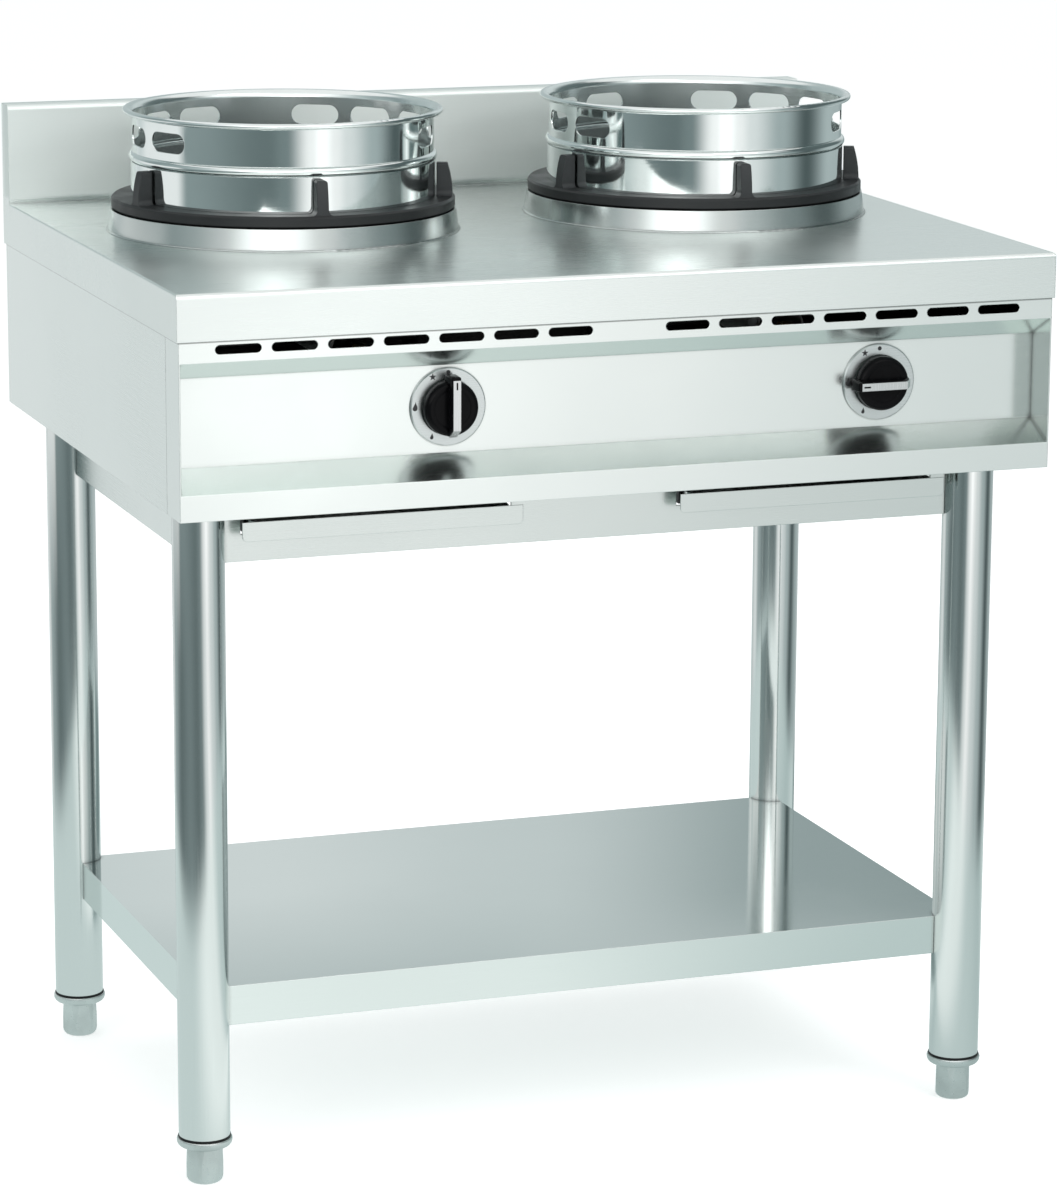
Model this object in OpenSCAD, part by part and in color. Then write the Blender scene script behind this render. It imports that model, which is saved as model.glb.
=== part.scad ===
// Two-burner wok range on a tubular stand.
// Millimetres, +Z up, front towards -Y, origin on the floor under the middle of the worktop.

/* [Worktop] */
// Width of the worktop
top_w = 900; // [890:5:1100]
// Depth of the worktop with its upstand
top_d = 690; // [670:5:760]
// Height of the worktop above the floor
top_z = 900; // [880:5:960]
// Thickness of the worktop sheet
top_t = 2; // [1.5:0.25:3]
// Height of the turned-down edge
skirt_h = 45; // [40:1:60]
// Outer radius of the bends of the worktop
bend_r = 5; // [4:0.5:8]
// Height of the rear upstand above the worktop
splash_h = 104; // [80:2:150]
// Depth of the hollow rear upstand
splash_t = 28; // [20:1:40]

/* [Housing] */
// Height of the housing below the skirt
body_h = 171; // [165:1:190]
// Thickness of the housing sheets
panel_t = 1.5; // [1:0.25:2]
// Length of sheet tucked up behind the skirt
tuck_h = 30; // [20:1:35]
// Distance from the back of the worktop to the rear panel
rear_inset = 40; // [38:1:60]
// Width of the bottom flanges of the side and rear panels
flange_w = 50; // [45:1:60]
// Gap at the seam between front end plates and side panels
seam = 0.5; // [0.3:0.1:0.8]
// Radius of the rounded corners of the floor cut-outs
cutout_r = 12; // [6:1:20]
// Distance of a floor cut-out inside the sides of its drip tray
cutout_side = 13; // [10:0.5:20]
// Distance of a floor cut-out inside the ends of its drip tray
cutout_end = 35; // [30:1:60]

/* [Control panel] */
// Height of the slotted strip under the skirt
vent_h = 20.5; // [18:0.5:26]
// Drop of the sloped soffit over the knobs
soffit_h = 20.5; // [14:0.5:24]
// Depth of the knob recess
recess_d = 40; // [36:1:48]
// Drop of the sloped ledge under the knobs
ledge_h = 19; // [14:0.5:24]
// Height of the rail along the bottom of the front
rail_h = 25.5; // [20:0.5:32]
// Depth of the return under the rail
rail_return = 25; // [15:1:35]
// Depth of the end plates that close the recess
end_d = 45.5; // [42:0.5:60]
// Height of a vent slot
slot_h = 9; // [6:0.5:11]
// Land between neighbouring vent slots
slot_land = 10; // [8:0.5:16]
// Gap between the two rows of vent slots
rows_gap = 75; // [60:1:100]
// Number of vent slots above each knob
slot_count = 7; // [3:2:7]
// Distance of the slot row below the skirt
slot_drop = 8.5; // [7:0.5:10]

/* [Knobs] */
// Sideways distance from a burner to its knob
knob_dx = 54; // [45:1:70]
// Height of the knobs above the middle of their panel
knob_rise = 2; // [0:0.5:4]
// Radius of the knob's disc
knob_r = 27.5; // [26:0.5:31]
// Height of the knob's disc
disc_h = 12; // [10:0.5:14]
// Radius of the rounded front edge of the disc
disc_round = 8; // [4:0.5:9]
// Distance from the panel to the front of the knob
knob_h = 30; // [27:0.5:34]
// Width of the grip bar at the disc
bar_w = 12; // [11:0.5:15]
// Width of the grip bar at its front
bar_tip_w = 9; // [8.5:0.5:10.5]
// Length of the pointer beyond the disc
nub_l = 5; // [3:0.5:6]
// Chamfer at the front of the pointer
nub_cut = 2; // [1:0.25:3]
// Distance of the grip bar's tail inside the disc
tail_inset = 1; // [0.5:0.25:2]
// Length of the slope at the tail of the grip bar
tail_l = 8; // [6:0.5:10]
// Height of the slope at the tail of the grip bar
tail_h = 12; // [9:0.5:13]
// Width of the bright strip on the grip bar
inlay_w = 7.6; // [6:0.2:8.4]
// Thickness of the bright strip
inlay_t = 1; // [0.8:0.1:1.4]
// Distance of the strip's end behind the pointer's tip
strip_end = 3; // [2.5:0.25:4]
// Distance of the index slot behind the strip's end
index_end = 2; // [1:0.25:3]
// Length of the index slot in the strip
index_l = 7; // [5:0.5:9]
// Width of the index slot in the strip
index_w = 1.6; // [1:0.2:2.4]
// Radius of the dial plate behind the knob
bezel_r = 38; // [35:0.5:40]
// Thickness of the dial plate
bezel_t = 3; // [2:0.5:4]
// Chamfer and step of the dial plate
bezel_cut = 1; // [0.6:0.1:1.4]
// Wall of the knob in front of its spindle
knob_wall = 2; // [1.5:0.25:3]
// Gap behind the knob, more than its push travel
knob_gap = 5; // [4.6:0.2:7]
// Turn of the left knob from off, seen from the front
turn_left = 0; // [0:1:150]
// Turn of the right knob from off, seen from the front
turn_right = 90; // [0:1:150]

/* [Gas taps and pipes] */
// Radius of the turning plug in a tap
plug_r = 9; // [8:0.25:10]
// Length of the turning plug
plug_l = 30; // [28:1:36]
// Radius of a tap's spindle
spindle_r = 4; // [3.5:0.25:5]
// Length of spindle inside the plug
spindle_tail = 22; // [18:1:23]
// Clearance of a spindle in the panel and the dial plate
spindle_gap = 1; // [0.5:0.25:2]
// Thickness of the plug's closed end
plug_floor = 1; // [0.8:0.1:2]
// Radius of the tap's barrel
valve_r = 15; // [14:0.5:17]
// Wall in front of and behind the plug
valve_wall = 4; // [3:0.5:6]
// Gap between the control panel and a tap
valve_gap = 4; // [2:0.5:6]
// Width and depth of the block under a tap
valve_block = 26; // [24:1:28]
// Length of a tap's outlet
outlet_l = 10; // [8:0.5:14]
// Wall of a tap's outlet
outlet_wall = 3; // [2:0.25:4]
// Distance of the shoulder behind a pipe's end inside an outlet
outlet_seat = 2; // [1:0.25:3]
// Drop from a tap's axis to the manifold's axis
manifold_drop = 36; // [33:1:38]
// Outer radius of the manifold pipe
manifold_r = 10.65; // [9:0.25:12]
// Wall of the manifold pipe
manifold_t = 2; // [1.5:0.25:2.5]
// Bend radius of the manifold pipe
manifold_bend = 25; // [22:1:40]
// Distance from the side of the housing to the manifold's rear run
manifold_side = 40; // [34:1:44]
// Length of manifold beyond the left tap
manifold_over = 40; // [30:1:50]
// Thickness of the manifold's end cap
manifold_cap = 4; // [3:0.5:6]
// Outer radius of the burner pipes
pipe_r = 5; // [4:0.25:6]
// Wall of the burner pipes
pipe_t = 1; // [0.8:0.1:1.2]
// Bend radius of the burner pipes
pipe_bend = 10; // [8:0.5:12]
// Distance from a tap's outlet to its injector
pipe_reach = 43; // [38:1:50]
// Length of an injector
injector_l = 26; // [24:0.5:30]
// Radius of an injector's hexagon
injector_r = 10; // [9:0.25:11]
// Length of an injector's round nose
nose_l = 6; // [4:0.5:8]
// Length of an injector's jet
jet_l = 13; // [11:0.5:15]
// Radius of the pilot pipes
pilot_r = 2; // [1.5:0.25:2.5]
// Radius of the gas inlet's thread
inlet_r = 10.48; // [10:0.02:12]
// Length of the gas inlet's thread
inlet_l = 18; // [12:1:20]
// Length of the gas inlet's socket behind the panel
inlet_socket = 20; // [16:1:26]
// Wall of the gas inlet's socket
inlet_wall = 4; // [3:0.5:5]
// Length of the step between the socket and the panel
inlet_step = 6; // [4:0.5:8]
// Wall of the gas inlet's threaded end
thread_wall = 3; // [2.5:0.25:4]
// Length of the gas inlet's hexagon
inlet_hex_l = 10; // [8:1:12]
// Size across the flats of the gas inlet's hexagon
inlet_hex = 27; // [26:0.5:30]

/* [Burners] */
// Share of the worktop's width between the two burners
burner_share = 0.5; // [0.48:0.005:0.505]
// Distance of the burners behind the middle of the worktop
burner_y = 60; // [40:2:70]
// Distance of the worktop's hole outside the collar's opening
hole_edge = 9; // [4:0.5:16]
// Height of the raised collar
collar_h = 22; // [16:1:30]
// Distance of the collar's top outside the cast ring
collar_over = 1; // [0.5:0.25:4]
// Spread of the collar at its foot
collar_flare = 3; // [1:0.5:6]
// Thickness of the collar
collar_t = 2; // [1.5:0.25:3]
// Radius of the weld bead round the collar's foot
weld_r = 1.5; // [1:0.25:2.5]
// Outer radius of the cast burner head
head_r = 62; // [54:1:68]
// Height of the sloped top of the burner head
head_cap = 12; // [9:0.5:15]
// Width of the sloped top of the burner head
head_slope = 16; // [13:0.5:20]
// Height of the burner head's widest part above its flange
head_bowl = 22; // [20:0.5:26]
// Thickness of the flange under the burner head
head_lip = 6; // [4:0.5:8]
// Distance of the outer ports inside the burner head's edge
port_inset = 8; // [6:0.5:10]
// Height of the cast burner head
head_h = 46; // [42:1:52]
// Distance of the burner head's top below the worktop
head_drop = 4; // [2:1:12]
// Radius of the flange under the burner head
head_foot_r = 34; // [30:1:38]
// Number of ports in the outer ring
port_count = 24; // [12:2:30]
// Radius of a port
port_r = 2; // [1.5:0.25:2.5]
// Outer radius of the mixing tube
mixer_r = 20; // [18:0.5:22]
// Wall of the mixing tube
mixer_t = 2.5; // [2:0.25:3.5]
// Outer radius of the mixing tube's throat
throat_r = 15; // [13:0.5:16]
// Outer radius of the mixing tube's mouth
mouth_r = 26; // [24:0.5:28]
// Length of the mixing tube's straight mouth
mouth_l = 6; // [4:0.5:10]
// Thickness of the flange on top of the mixing tube
neck_t = 5; // [4:0.5:7]
// Drop from the burner head to the mixing tube's axis
mixer_drop = 40; // [36:1:44]
// Thickness of the burner bracket
bracket_t = 3; // [2:0.5:4]
// Width of the burner bracket
bracket_w = 40; // [30:1:44]
// Distance of the burner bracket in front of the burner
bracket_dy = 36; // [32:1:44]
// Distance of the burner bracket's legs outside the floor cut-out
bracket_edge = 4; // [2:0.5:6]
// Length of the burner bracket's feet
bracket_foot = 22; // [15:1:25]

/* [Pilots] */
// Distance of a pilot beside the mixing tube
pilot_dx = 13; // [12:0.5:16]
// Distance of a pilot in front of the burner bracket
pilot_dy = 10; // [9:0.5:14]
// Width of a pilot's clip
clip_w = 16; // [14:0.5:18]
// Length of the clip's foot on the bracket
clip_foot = 22; // [16:1:26]
// Thickness of a pilot's clip
clip_t = 2; // [1.5:0.25:2.5]
// Width of a pilot's clamp
clamp_w = 24; // [23:0.5:28]
// Depth of a pilot's clamp
clamp_d = 13; // [11:0.5:14]
// Height of a pilot's clamp
clamp_h = 12; // [10:0.5:14]
// Depth of the pilot pipe's seat in the clamp
pilot_seat = 6; // [4:0.5:8]
// Radius of a pilot's hood
hood_r = 4.5; // [4:0.25:5.5]
// Distance of the hood's end below the burner head's top
hood_drop = 8; // [6:0.5:12]
// Radius of the flame probe
probe_r = 3; // [2:0.25:3.5]
// Distance of the flame probe beside the hood
probe_dx = 11; // [10:0.5:12]
// Length of the flame probe below its clamp
probe_tail = 14; // [10:1:20]
// Distance of the probe's end below the burner head's top
probe_drop = 6; // [4:0.5:10]

/* [Trivets] */
// Width of the cast ring
trivet_w = 47; // [43:1:50]
// Thickness of the cast ring
trivet_h = 12; // [9:0.5:16]
// Chamfer of the cast ring's outer edges
trivet_cut = 2; // [1:0.1:2]
// Depth of the locating rib under the cast ring
rib_h = 8; // [5:0.5:12]
// Width of the locating rib at its root
rib_w = 11; // [8:0.5:14]
// Gap between the locating rib and the collar's opening
rib_gap = 2; // [1:0.25:3]
// Taper of the locating rib
rib_taper = 4; // [2:0.5:5]
// Number of upright lugs
lug_count = 5; // [3:1:6]
// Turn of the lugs from the front
lug_turn = -3.5; // [-10:0.5:10]
// Depth of a lug at its foot
lug_d = 16; // [13:0.5:18]
// Width of a lug
lug_w = 11.5; // [9:0.5:16]
// Height of a lug above the cast ring
lug_h = 34; // [28:1:40]
// Radius of the lug's bowed outer edge
lug_bow = 110; // [90:1:140]
// Distance of a lug's foot from the cast ring's edge
lug_inset = 2.5; // [2.3:0.1:5]
// Depth that the lug's fillets are sunk into the cast ring
lug_sink = 0.2; // [0.1:0.05:0.4]
// Radius of the lug's top corners
lug_round = 2.5; // [1.5:0.5:4]
// Radius of the fillets at the lug's foot
lug_fillet = 6; // [3:0.5:8]
// Gap between the lugs and the wok ring
lug_gap = 1.5; // [1:0.25:3]

/* [Wok rings] */
// Outer radius of the upper band
ring_r = 153.5; // [150:0.5:155]
// How much wider the lower band is
ring_step = 1.5; // [1:0.25:2.5]
// Thickness of the ring's sheet
ring_t = 1.5; // [1:0.25:2]
// Height of the lower band
band_low = 36; // [30:1:44]
// Height of the upper band
band_high = 36; // [32:1:44]
// Length of the upper ring's spigot inside the lower band
spigot_h = 10; // [6:1:16]
// Radius of the rounded bead between the bands
bead_r = 5; // [4:0.25:6]
// Radius of the outward flare under the rim
flare_r = 6; // [5:0.25:8]
// Radius of the rolled rim
rim_r = 3; // [2.5:0.25:4]
// Length of a slot in the upper band
ring_slot_l = 50; // [40:1:54]
// Height of a slot in the upper band
ring_slot_h = 20; // [14:0.5:24]
// Angle between neighbouring slots
ring_slot_step = 24; // [23:0.5:26]
// Number of slots on each side of the back
ring_slots = 5; // [3:1:6]
// Turn of the slotted back of the ring
ring_turn = -5.5; // [-15:0.5:15]

/* [Drip trays] */
// Gap between the runners and the bottom flanges of the side panels
runner_side = 24.5; // [20:0.5:36]
// Gap between the runners and the bottom flange of the rear panel
runner_rear = 58; // [40:1:90]
// Depth of a tray's pan
tray_h = 12.5; // [10:0.5:14]
// Thickness of the tray's sheet
tray_t = 1.2; // [0.8:0.1:1.6]
// Corner radius of a tray's pan
tray_r = 12; // [6:1:20]
// Distance of the tray fronts behind the front of the worktop
tray_front = 72; // [60:1:80]
// Overhang of a tray's front plate at either side of its pan
tray_face_over = 11.5; // [6:0.5:12.5]
// Height of a tray's front plate
tray_face_h = 19; // [16:0.5:22]
// Reach of the front plate below the pan
tray_face_drop = 6; // [4:0.5:8]
// Radius of the lower corners of the front plate
tray_face_r = 5; // [3:0.5:7]
// Gap between the runners and the back of the front apron
runner_clear = 0.5; // [0.3:0.1:4]
// Drop of the runners below the housing
runner_drop = 33; // [28:0.5:34]
// Width of a runner's ledge and of its top flange
runner_ledge = 14; // [10:0.5:15]
// Thickness of a runner
runner_t = 1.5; // [1:0.25:2]
// Gap between a tray and its runners
tray_gap = 2; // [1:0.25:3]

/* [Stand] */
// Outer radius of a leg
leg_r = 25.5; // [22:0.5:27]
// Wall of a leg
leg_t = 1.5; // [1:0.25:2.5]
// Distance from the side of the worktop to a leg's axis
leg_side = 45; // [42:1:48]
// Distance from the front and back of the worktop to a leg's axis
leg_end = 95; // [88:1:104]
// Height of the aprons between the legs
apron_h = 61; // [56:1:80]
// Thickness of the aprons
apron_t = 2; // [1.5:0.25:3]
// Width of the return along the bottom of an apron
apron_return = 14; // [8:1:20]
// Gap between a runner and the side of its cut-out in the front apron
apron_gap = 3.5; // [2:0.5:10]
// Gap between a runner and the bottom of its cut-out in the front apron
apron_drop = 1; // [0.5:0.25:3]
// Height of the undershelf's top above the floor
shelf_z = 198; // [150:2:300]
// Height of the undershelf's edge
shelf_h = 40; // [30:1:50]
// Thickness of the undershelf
shelf_t = 1.5; // [1:0.25:2]
// Width of the stiffener under the shelf
stiff_w = 60; // [40:2:80]
// Depth of the stiffener under the shelf
stiff_h = 25; // [15:1:28]

/* [Feet] */
// Height of a foot below its collar
foot_h = 38; // [30:1:48]
// Radius of a foot
foot_r = 18.5; // [16:0.5:21]
// Size across the flats of a foot
foot_flats = 33.6; // [32:0.2:36]
// Height of the widest part of a foot
barrel_z = 20; // [14:1:24]
// How much a foot narrows from there to its top
barrel_in = 1; // [0.5:0.1:2]
// Radius of the rounded edge of a foot's sole
sole_round = 8; // [5:0.5:9]
// Radius of a foot's screw
screw_r = 6; // [5:0.5:8]
// Length of the screw inside the leg
screw_l = 36; // [32:1:44]
// Radius of the collar at the end of a leg
insert_r = 27.5; // [27.2:0.1:30]
// Height of the collar at the end of a leg
insert_h = 9; // [6:0.5:12]
// Radius of the collar's rounded lower edge
insert_round = 6; // [3:0.5:7]
// Radius of the collar's rounded upper edge
insert_edge = 1.5; // [1:0.1:1.6]
// Length of the plug inside a leg
insert_l = 38; // [30:1:50]

/* [Fits] */
// Radial clearance of turning and sliding fits
fit = 0.05; // [0.03:0.01:0.1]
// Radial clearance round pushed-in and welded pieces
snug = 0.1; // [0.05:0.01:0.2]
// Clearance between pieces that lift or slide apart
lift = 0.3; // [0.2:0.05:0.5]

/* [Fasteners] */
// Radius of a screw head
head_screw_r = 5; // [4:0.25:6]
// Height of a screw head
head_screw_h = 2.6; // [2:0.2:4]
// Distance of the screws to either side of a leg
screw_spread = 45; // [36:1:60]
// Distance of the screws from the sides of the housing
screw_edge = 10; // [8:0.5:14]
// Distance of the rear panel's screws from its edges
rear_screw = 20; // [14:1:30]

/* [Hidden] */
$fn = 96;
cut = 1;
left = -1;
right = 1;

skirt_z = top_z - skirt_h;
floor_z = skirt_z - body_h;
vent_z = skirt_z - vent_h;
face_top = vent_z - soffit_h;
rail_top = floor_z + rail_h;
face_bottom = rail_top + ledge_h;
tuck_z = skirt_z + tuck_h;
pan_z = floor_z + panel_t;
pan_top = pan_z + panel_t;
half_w = top_w / 2 - top_t;
burner_gap = top_w * burner_share;
front_y = top_t - top_d / 2;
back_y = top_d / 2 - top_t;
face_y = front_y + recess_d;
rear_y = top_d / 2 - rear_inset;
side_y = front_y + end_d + seam;
splash_y = top_d / 2 - splash_t;
slot_pitch = (burner_gap - rows_gap + slot_land) / slot_count;
slot_l = slot_pitch - slot_land;

tray_x = burner_gap / 2;
tray_y = tray_front - top_d / 2;
tray_w = 2 * (half_w - flange_w - runner_side - runner_ledge - runner_t - tray_gap - tray_x);
tray_l = rear_y - flange_w - runner_rear - tray_y;
tray_face_w = tray_w + 2 * tray_face_over;
runner_z = floor_z - runner_drop;
runner_x = tray_w / 2 + tray_gap;
tray_z = runner_z + runner_t + lift;
tray_mid = tray_y + tray_l / 2;
cutout_w = tray_w - 2 * cutout_side;
cutout_d = tray_l - 2 * cutout_end;

knob_z = (face_top + face_bottom) / 2 + knob_rise;
disc_back = bezel_t + knob_gap;
bar_front = knob_h - inlay_t;
bar_tail = knob_r - tail_inset;
bar_nub = knob_r + nub_l;
valve_front = -panel_t - valve_gap;
plug_front = valve_front - valve_wall - lift;
valve_back = plug_front - plug_l - lift - valve_wall;
valve_y = face_y - (valve_front + valve_back) / 2;
outlet_y = face_y - valve_back + outlet_l;
manifold_z = knob_z - manifold_drop;
manifold_x = half_w - panel_t - manifold_side;

head_top = top_z - head_drop;
head_z = head_top - head_h;
mixer_z = head_z - mixer_drop;
injector_y = outlet_y + pipe_reach;
mouth_y = injector_y + injector_l;
mixer_l = burner_y - mouth_y;
bracket_y = burner_y - bracket_dy;
bracket_top = mixer_z - mixer_r - snug;
bracket_x = cutout_w / 2 + bracket_edge;
pilot_x = mixer_r + pilot_dx;
pilot_y = bracket_y - bracket_w / 2 - pilot_dy;
clamp_z = head_z - clamp_h / 2;

low_r = ring_r + ring_step;
lug_r = low_r + lug_gap;
trivet_r = lug_r + lug_d + lug_inset;
trivet_bore = trivet_r - trivet_w;
rib_r = trivet_bore + rib_w;
collar_hole = rib_r + rib_gap;
collar_r = trivet_r + collar_over;
hole_r = collar_hole + hole_edge;
collar_top = top_z + collar_h;
trivet_z = collar_top + lift;
trivet_top = trivet_z + trivet_h;
ring_z = trivet_top + lift;
bead_z = band_low + bead_r;
high_z = band_low + 2 * bead_r;
flare_z = high_z + band_high;

leg_x = top_w / 2 - leg_side;
leg_y = top_d / 2 - leg_end;
runner_y = apron_t + runner_clear - leg_y;
leg_z = foot_h + insert_h;
apron_z = floor_z - apron_h;
apron_x = leg_x - leg_r - snug;
apron_y = leg_y - leg_r - snug;

// Sheet metal: the left-hand offset of a folded path, mitred at its bends
function side_of(a, b) = let (d = (b - a) / norm(b - a)) [-d[1], d[0]];
function before(path, i) = side_of(path[max(i - 1, 0)], path[max(i, 1)]);
function after(path, i) = side_of(path[min(i, len(path) - 2)], path[min(i + 1, len(path) - 1)]);
function mitre(path, i, t) =
    let (b = before(path, i), a = after(path, i)) path[i] + t * (b + a) / (1 + b * a);

module folded(path, t) {
    last = len(path) - 1;
    polygon(concat(path, [for (i = [0 : last]) mitre(path, last - i, t)]));
}

// Extrusions of profiles drawn in the (y, z) and (x, z) planes
module along_x(length) {
    rotate([90, 0, 90]) linear_extrude(length, center = true) children();
}

module along_y(start, end) {
    translate([0, end, 0]) rotate([90, 0, 0]) linear_extrude(end - start) children();
}

module rounded_rect(w, d, r) {
    square([w - 2 * r, d], center = true);
    square([w, d - 2 * r], center = true);
    for (x = [-1, 1], y = [-1, 1])
        translate([x * (w / 2 - r), y * (d / 2 - r)]) circle(r);
}

module slot_shape(l, h) {
    square([l - h, h], center = true);
    for (x = [-1, 1])
        translate([x * (l - h) / 2, 0]) circle(h / 2);
}

// What a rounded corner takes off a square one, in the first quadrant
module corner_waste(r) {
    difference() {
        translate([-cut, -cut]) square(r + cut);
        translate([r, r]) circle(r);
    }
}

module at_burner(side) {
    translate([side * burner_gap / 2, burner_y, 0]) children();
}

// Knob frame: x to the right, y towards the pointer, z out of the panel
module at_knob(side, turn) {
    translate([side * burner_gap / 2 + knob_dx, face_y, knob_z])
        rotate([90, 0, 0]) rotate([0, 0, turn]) children();
}

module at_leg(x_side, y_side) {
    translate([x_side * leg_x, y_side * leg_y, 0]) children();
}

// Pipes with straight runs and quarter bends along a list of points
function way(a, b) = (b - a) / norm(b - a);

module straight(a, b, r) {
    d = b - a;
    translate(a) rotate([0, acos(d[2] / norm(d)), atan2(d[1], d[0])]) cylinder(h = norm(d), r = r);
}

module quarter_bend(p, d1, d2, bend, r) {
    c = p - bend * d1 + bend * d2;
    n = cross(-d2, d1);
    multmatrix([
        [-d2[0], d1[0], n[0], c[0]],
        [-d2[1], d1[1], n[1], c[1]],
        [-d2[2], d1[2], n[2], c[2]],
        [0, 0, 0, 1]
    ]) rotate_extrude(angle = 90) translate([bend, 0]) circle(r);
}

module pipe_run(points, bend, r, over) {
    last = len(points) - 1;
    for (i = [0 : last - 1]) {
        d = way(points[i], points[i + 1]);
        start = points[i] + d * (i == 0 ? -over : bend);
        end = points[i + 1] + d * (i == last - 1 ? over : -bend);
        straight(start, end, r);
    }
    if (last > 1)
        for (i = [1 : last - 1])
            quarter_bend(points[i], way(points[i - 1], points[i]), way(points[i], points[i + 1]), bend, r);
}

module pipe(points, bend, r, t) {
    difference() {
        pipe_run(points, bend, r, 0);
        pipe_run(points, bend, r - t, cut);
    }
}

// Worktop section in (y, z), drawn in from its outside by a depth
module worktop_section(inset, bottom) {
    r = bend_r - inset;
    difference() {
        union() {
            translate([inset - top_d / 2, bottom]) square([top_d - 2 * inset, top_z - inset - bottom]);
            translate([splash_y + inset, bottom])
                square([splash_t - 2 * inset, top_z + splash_h - inset - bottom]);
        }
        translate([inset - top_d / 2, top_z - inset]) mirror([0, 1]) corner_waste(r);
        translate([splash_y + inset, top_z + splash_h - inset]) mirror([0, 1]) corner_waste(r);
    }
}

module worktop() {
    color("gainsboro")
    difference() {
        along_x(top_w) worktop_section(0, skirt_z);
        along_x(top_w - 2 * top_t) worktop_section(top_t, skirt_z - cut);
        for (side = [left, right])
            at_burner(side) translate([0, 0, top_z - 2 * top_t]) cylinder(h = 4 * top_t, r = hole_r);
        for (side = [left, right])
            along_y(-top_d / 2 - cut, splash_y)
                translate([side * top_w / 2, top_z]) scale([-side, -1]) corner_waste(top_t);
    }
}

module vent_row(y) {
    for (side = [left, right], i = [0 : slot_count - 1])
        translate([side * burner_gap / 2 + (i - (slot_count - 1) / 2) * slot_pitch, 0, skirt_z - slot_drop])
            along_y(y - 2 * panel_t, y + 2 * panel_t) slot_shape(slot_l, slot_h);
}

module front_panel() {
    path = [
        [front_y, tuck_z], [front_y, vent_z], [face_y, face_top], [face_y, face_bottom],
        [front_y, rail_top], [front_y, floor_z], [front_y + rail_return, floor_z]
    ];
    color("whitesmoke")
    difference() {
        union() {
            along_x(2 * (half_w - panel_t)) folded(path, panel_t);
            for (side = [left, right])
                translate([side * (half_w - panel_t / 2), front_y + end_d / 2, (floor_z + tuck_z) / 2])
                    cube([panel_t, end_d, tuck_z - floor_z], center = true);
        }
        vent_row(front_y);
        for (side = [left, right])
            at_knob(side, 0) cylinder(h = 4 * panel_t, r = spindle_r + spindle_gap, center = true);
    }
}

module side_panel(side) {
    color("gainsboro")
    scale([side, 1, 1]) {
        translate([half_w - panel_t, side_y, floor_z])
            cube([panel_t, back_y - side_y, tuck_z - floor_z]);
        translate([half_w - flange_w, side_y, floor_z])
            cube([flange_w - panel_t, back_y - side_y, panel_t]);
    }
}

module rear_panel() {
    color("silver")
    difference() {
        union() {
            translate([panel_t - half_w, rear_y - panel_t, pan_z])
                cube([2 * (half_w - panel_t), panel_t, tuck_z - pan_z]);
            translate([flange_w - half_w, rear_y - flange_w, floor_z])
                cube([2 * (half_w - flange_w), flange_w, panel_t]);
        }
        vent_row(rear_y);
        translate([manifold_x, rear_y, manifold_z])
            rotate([90, 0, 0]) cylinder(h = 4 * panel_t, r = inlet_r + snug, center = true);
    }
}

module base_pan() {
    pan_y = (front_y + rear_y) / 2;
    color("silver")
    translate([0, 0, pan_z])
    linear_extrude(panel_t)
    difference() {
        translate([0, pan_y])
            square([2 * (half_w - panel_t), rear_y - front_y - 2 * panel_t], center = true);
        for (side = [left, right])
            translate([side * tray_x, tray_mid]) rounded_rect(cutout_w, cutout_d, cutout_r);
    }
}

module burner_collar(side) {
    foot = collar_r + collar_flare;
    color("gainsboro")
    at_burner(side) translate([0, 0, top_z])
    rotate_extrude() {
        polygon([
            [foot, 0], [collar_r, collar_h], [collar_hole, collar_h], [collar_hole, collar_h - collar_t],
            [collar_r - collar_t, collar_h - collar_t], [foot - collar_t, 0]
        ]);
        intersection() {
            translate([foot, 0]) circle(weld_r);
            translate([foot - collar_t / 2, 0]) square(2 * weld_r + collar_t);
        }
    }
}

// Lug side view in (radius, height) and front view in (across, height) above the cast ring's underside
module lug_side() {
    intersection() {
        translate([lug_r, trivet_h / 2]) square([trivet_r - lug_inset - lug_r, trivet_h / 2 + lug_h]);
        translate([trivet_r - lug_inset - lug_bow, trivet_h]) circle(lug_bow);
    }
}

module lug_front() {
    top = trivet_h + lug_h;
    translate([-lug_w / 2, 0]) square([lug_w, top - lug_round]);
    translate([lug_round - lug_w / 2, 0]) square([lug_w - 2 * lug_round, top]);
    for (x = [-1, 1]) {
        translate([x * (lug_w / 2 - lug_round), top - lug_round]) circle(lug_round);
        translate([x * lug_w / 2, trivet_h - lug_sink]) scale([x, 1]) corner_waste(lug_fillet);
    }
}

module lug() {
    intersection() {
        rotate([90, 0, 0]) linear_extrude(lug_w + 4 * lug_fillet, center = true) lug_side();
        rotate([90, 0, 90]) linear_extrude(2 * trivet_r) lug_front();
    }
}

module trivet(side) {
    color("dimgray")
    at_burner(side) translate([0, 0, trivet_z]) {
        rotate_extrude()
            polygon([
                [trivet_bore, trivet_h], [trivet_bore, -rib_h], [rib_r - rib_taper, -rib_h], [rib_r, 0],
                [trivet_r - trivet_cut, 0], [trivet_r, trivet_cut],
                [trivet_r, trivet_h - trivet_cut], [trivet_r - trivet_cut, trivet_h]
            ]);
        for (i = [0 : lug_count - 1])
            rotate([0, 0, lug_turn - 90 + i * 360 / lug_count]) lug();
    }
}

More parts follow.
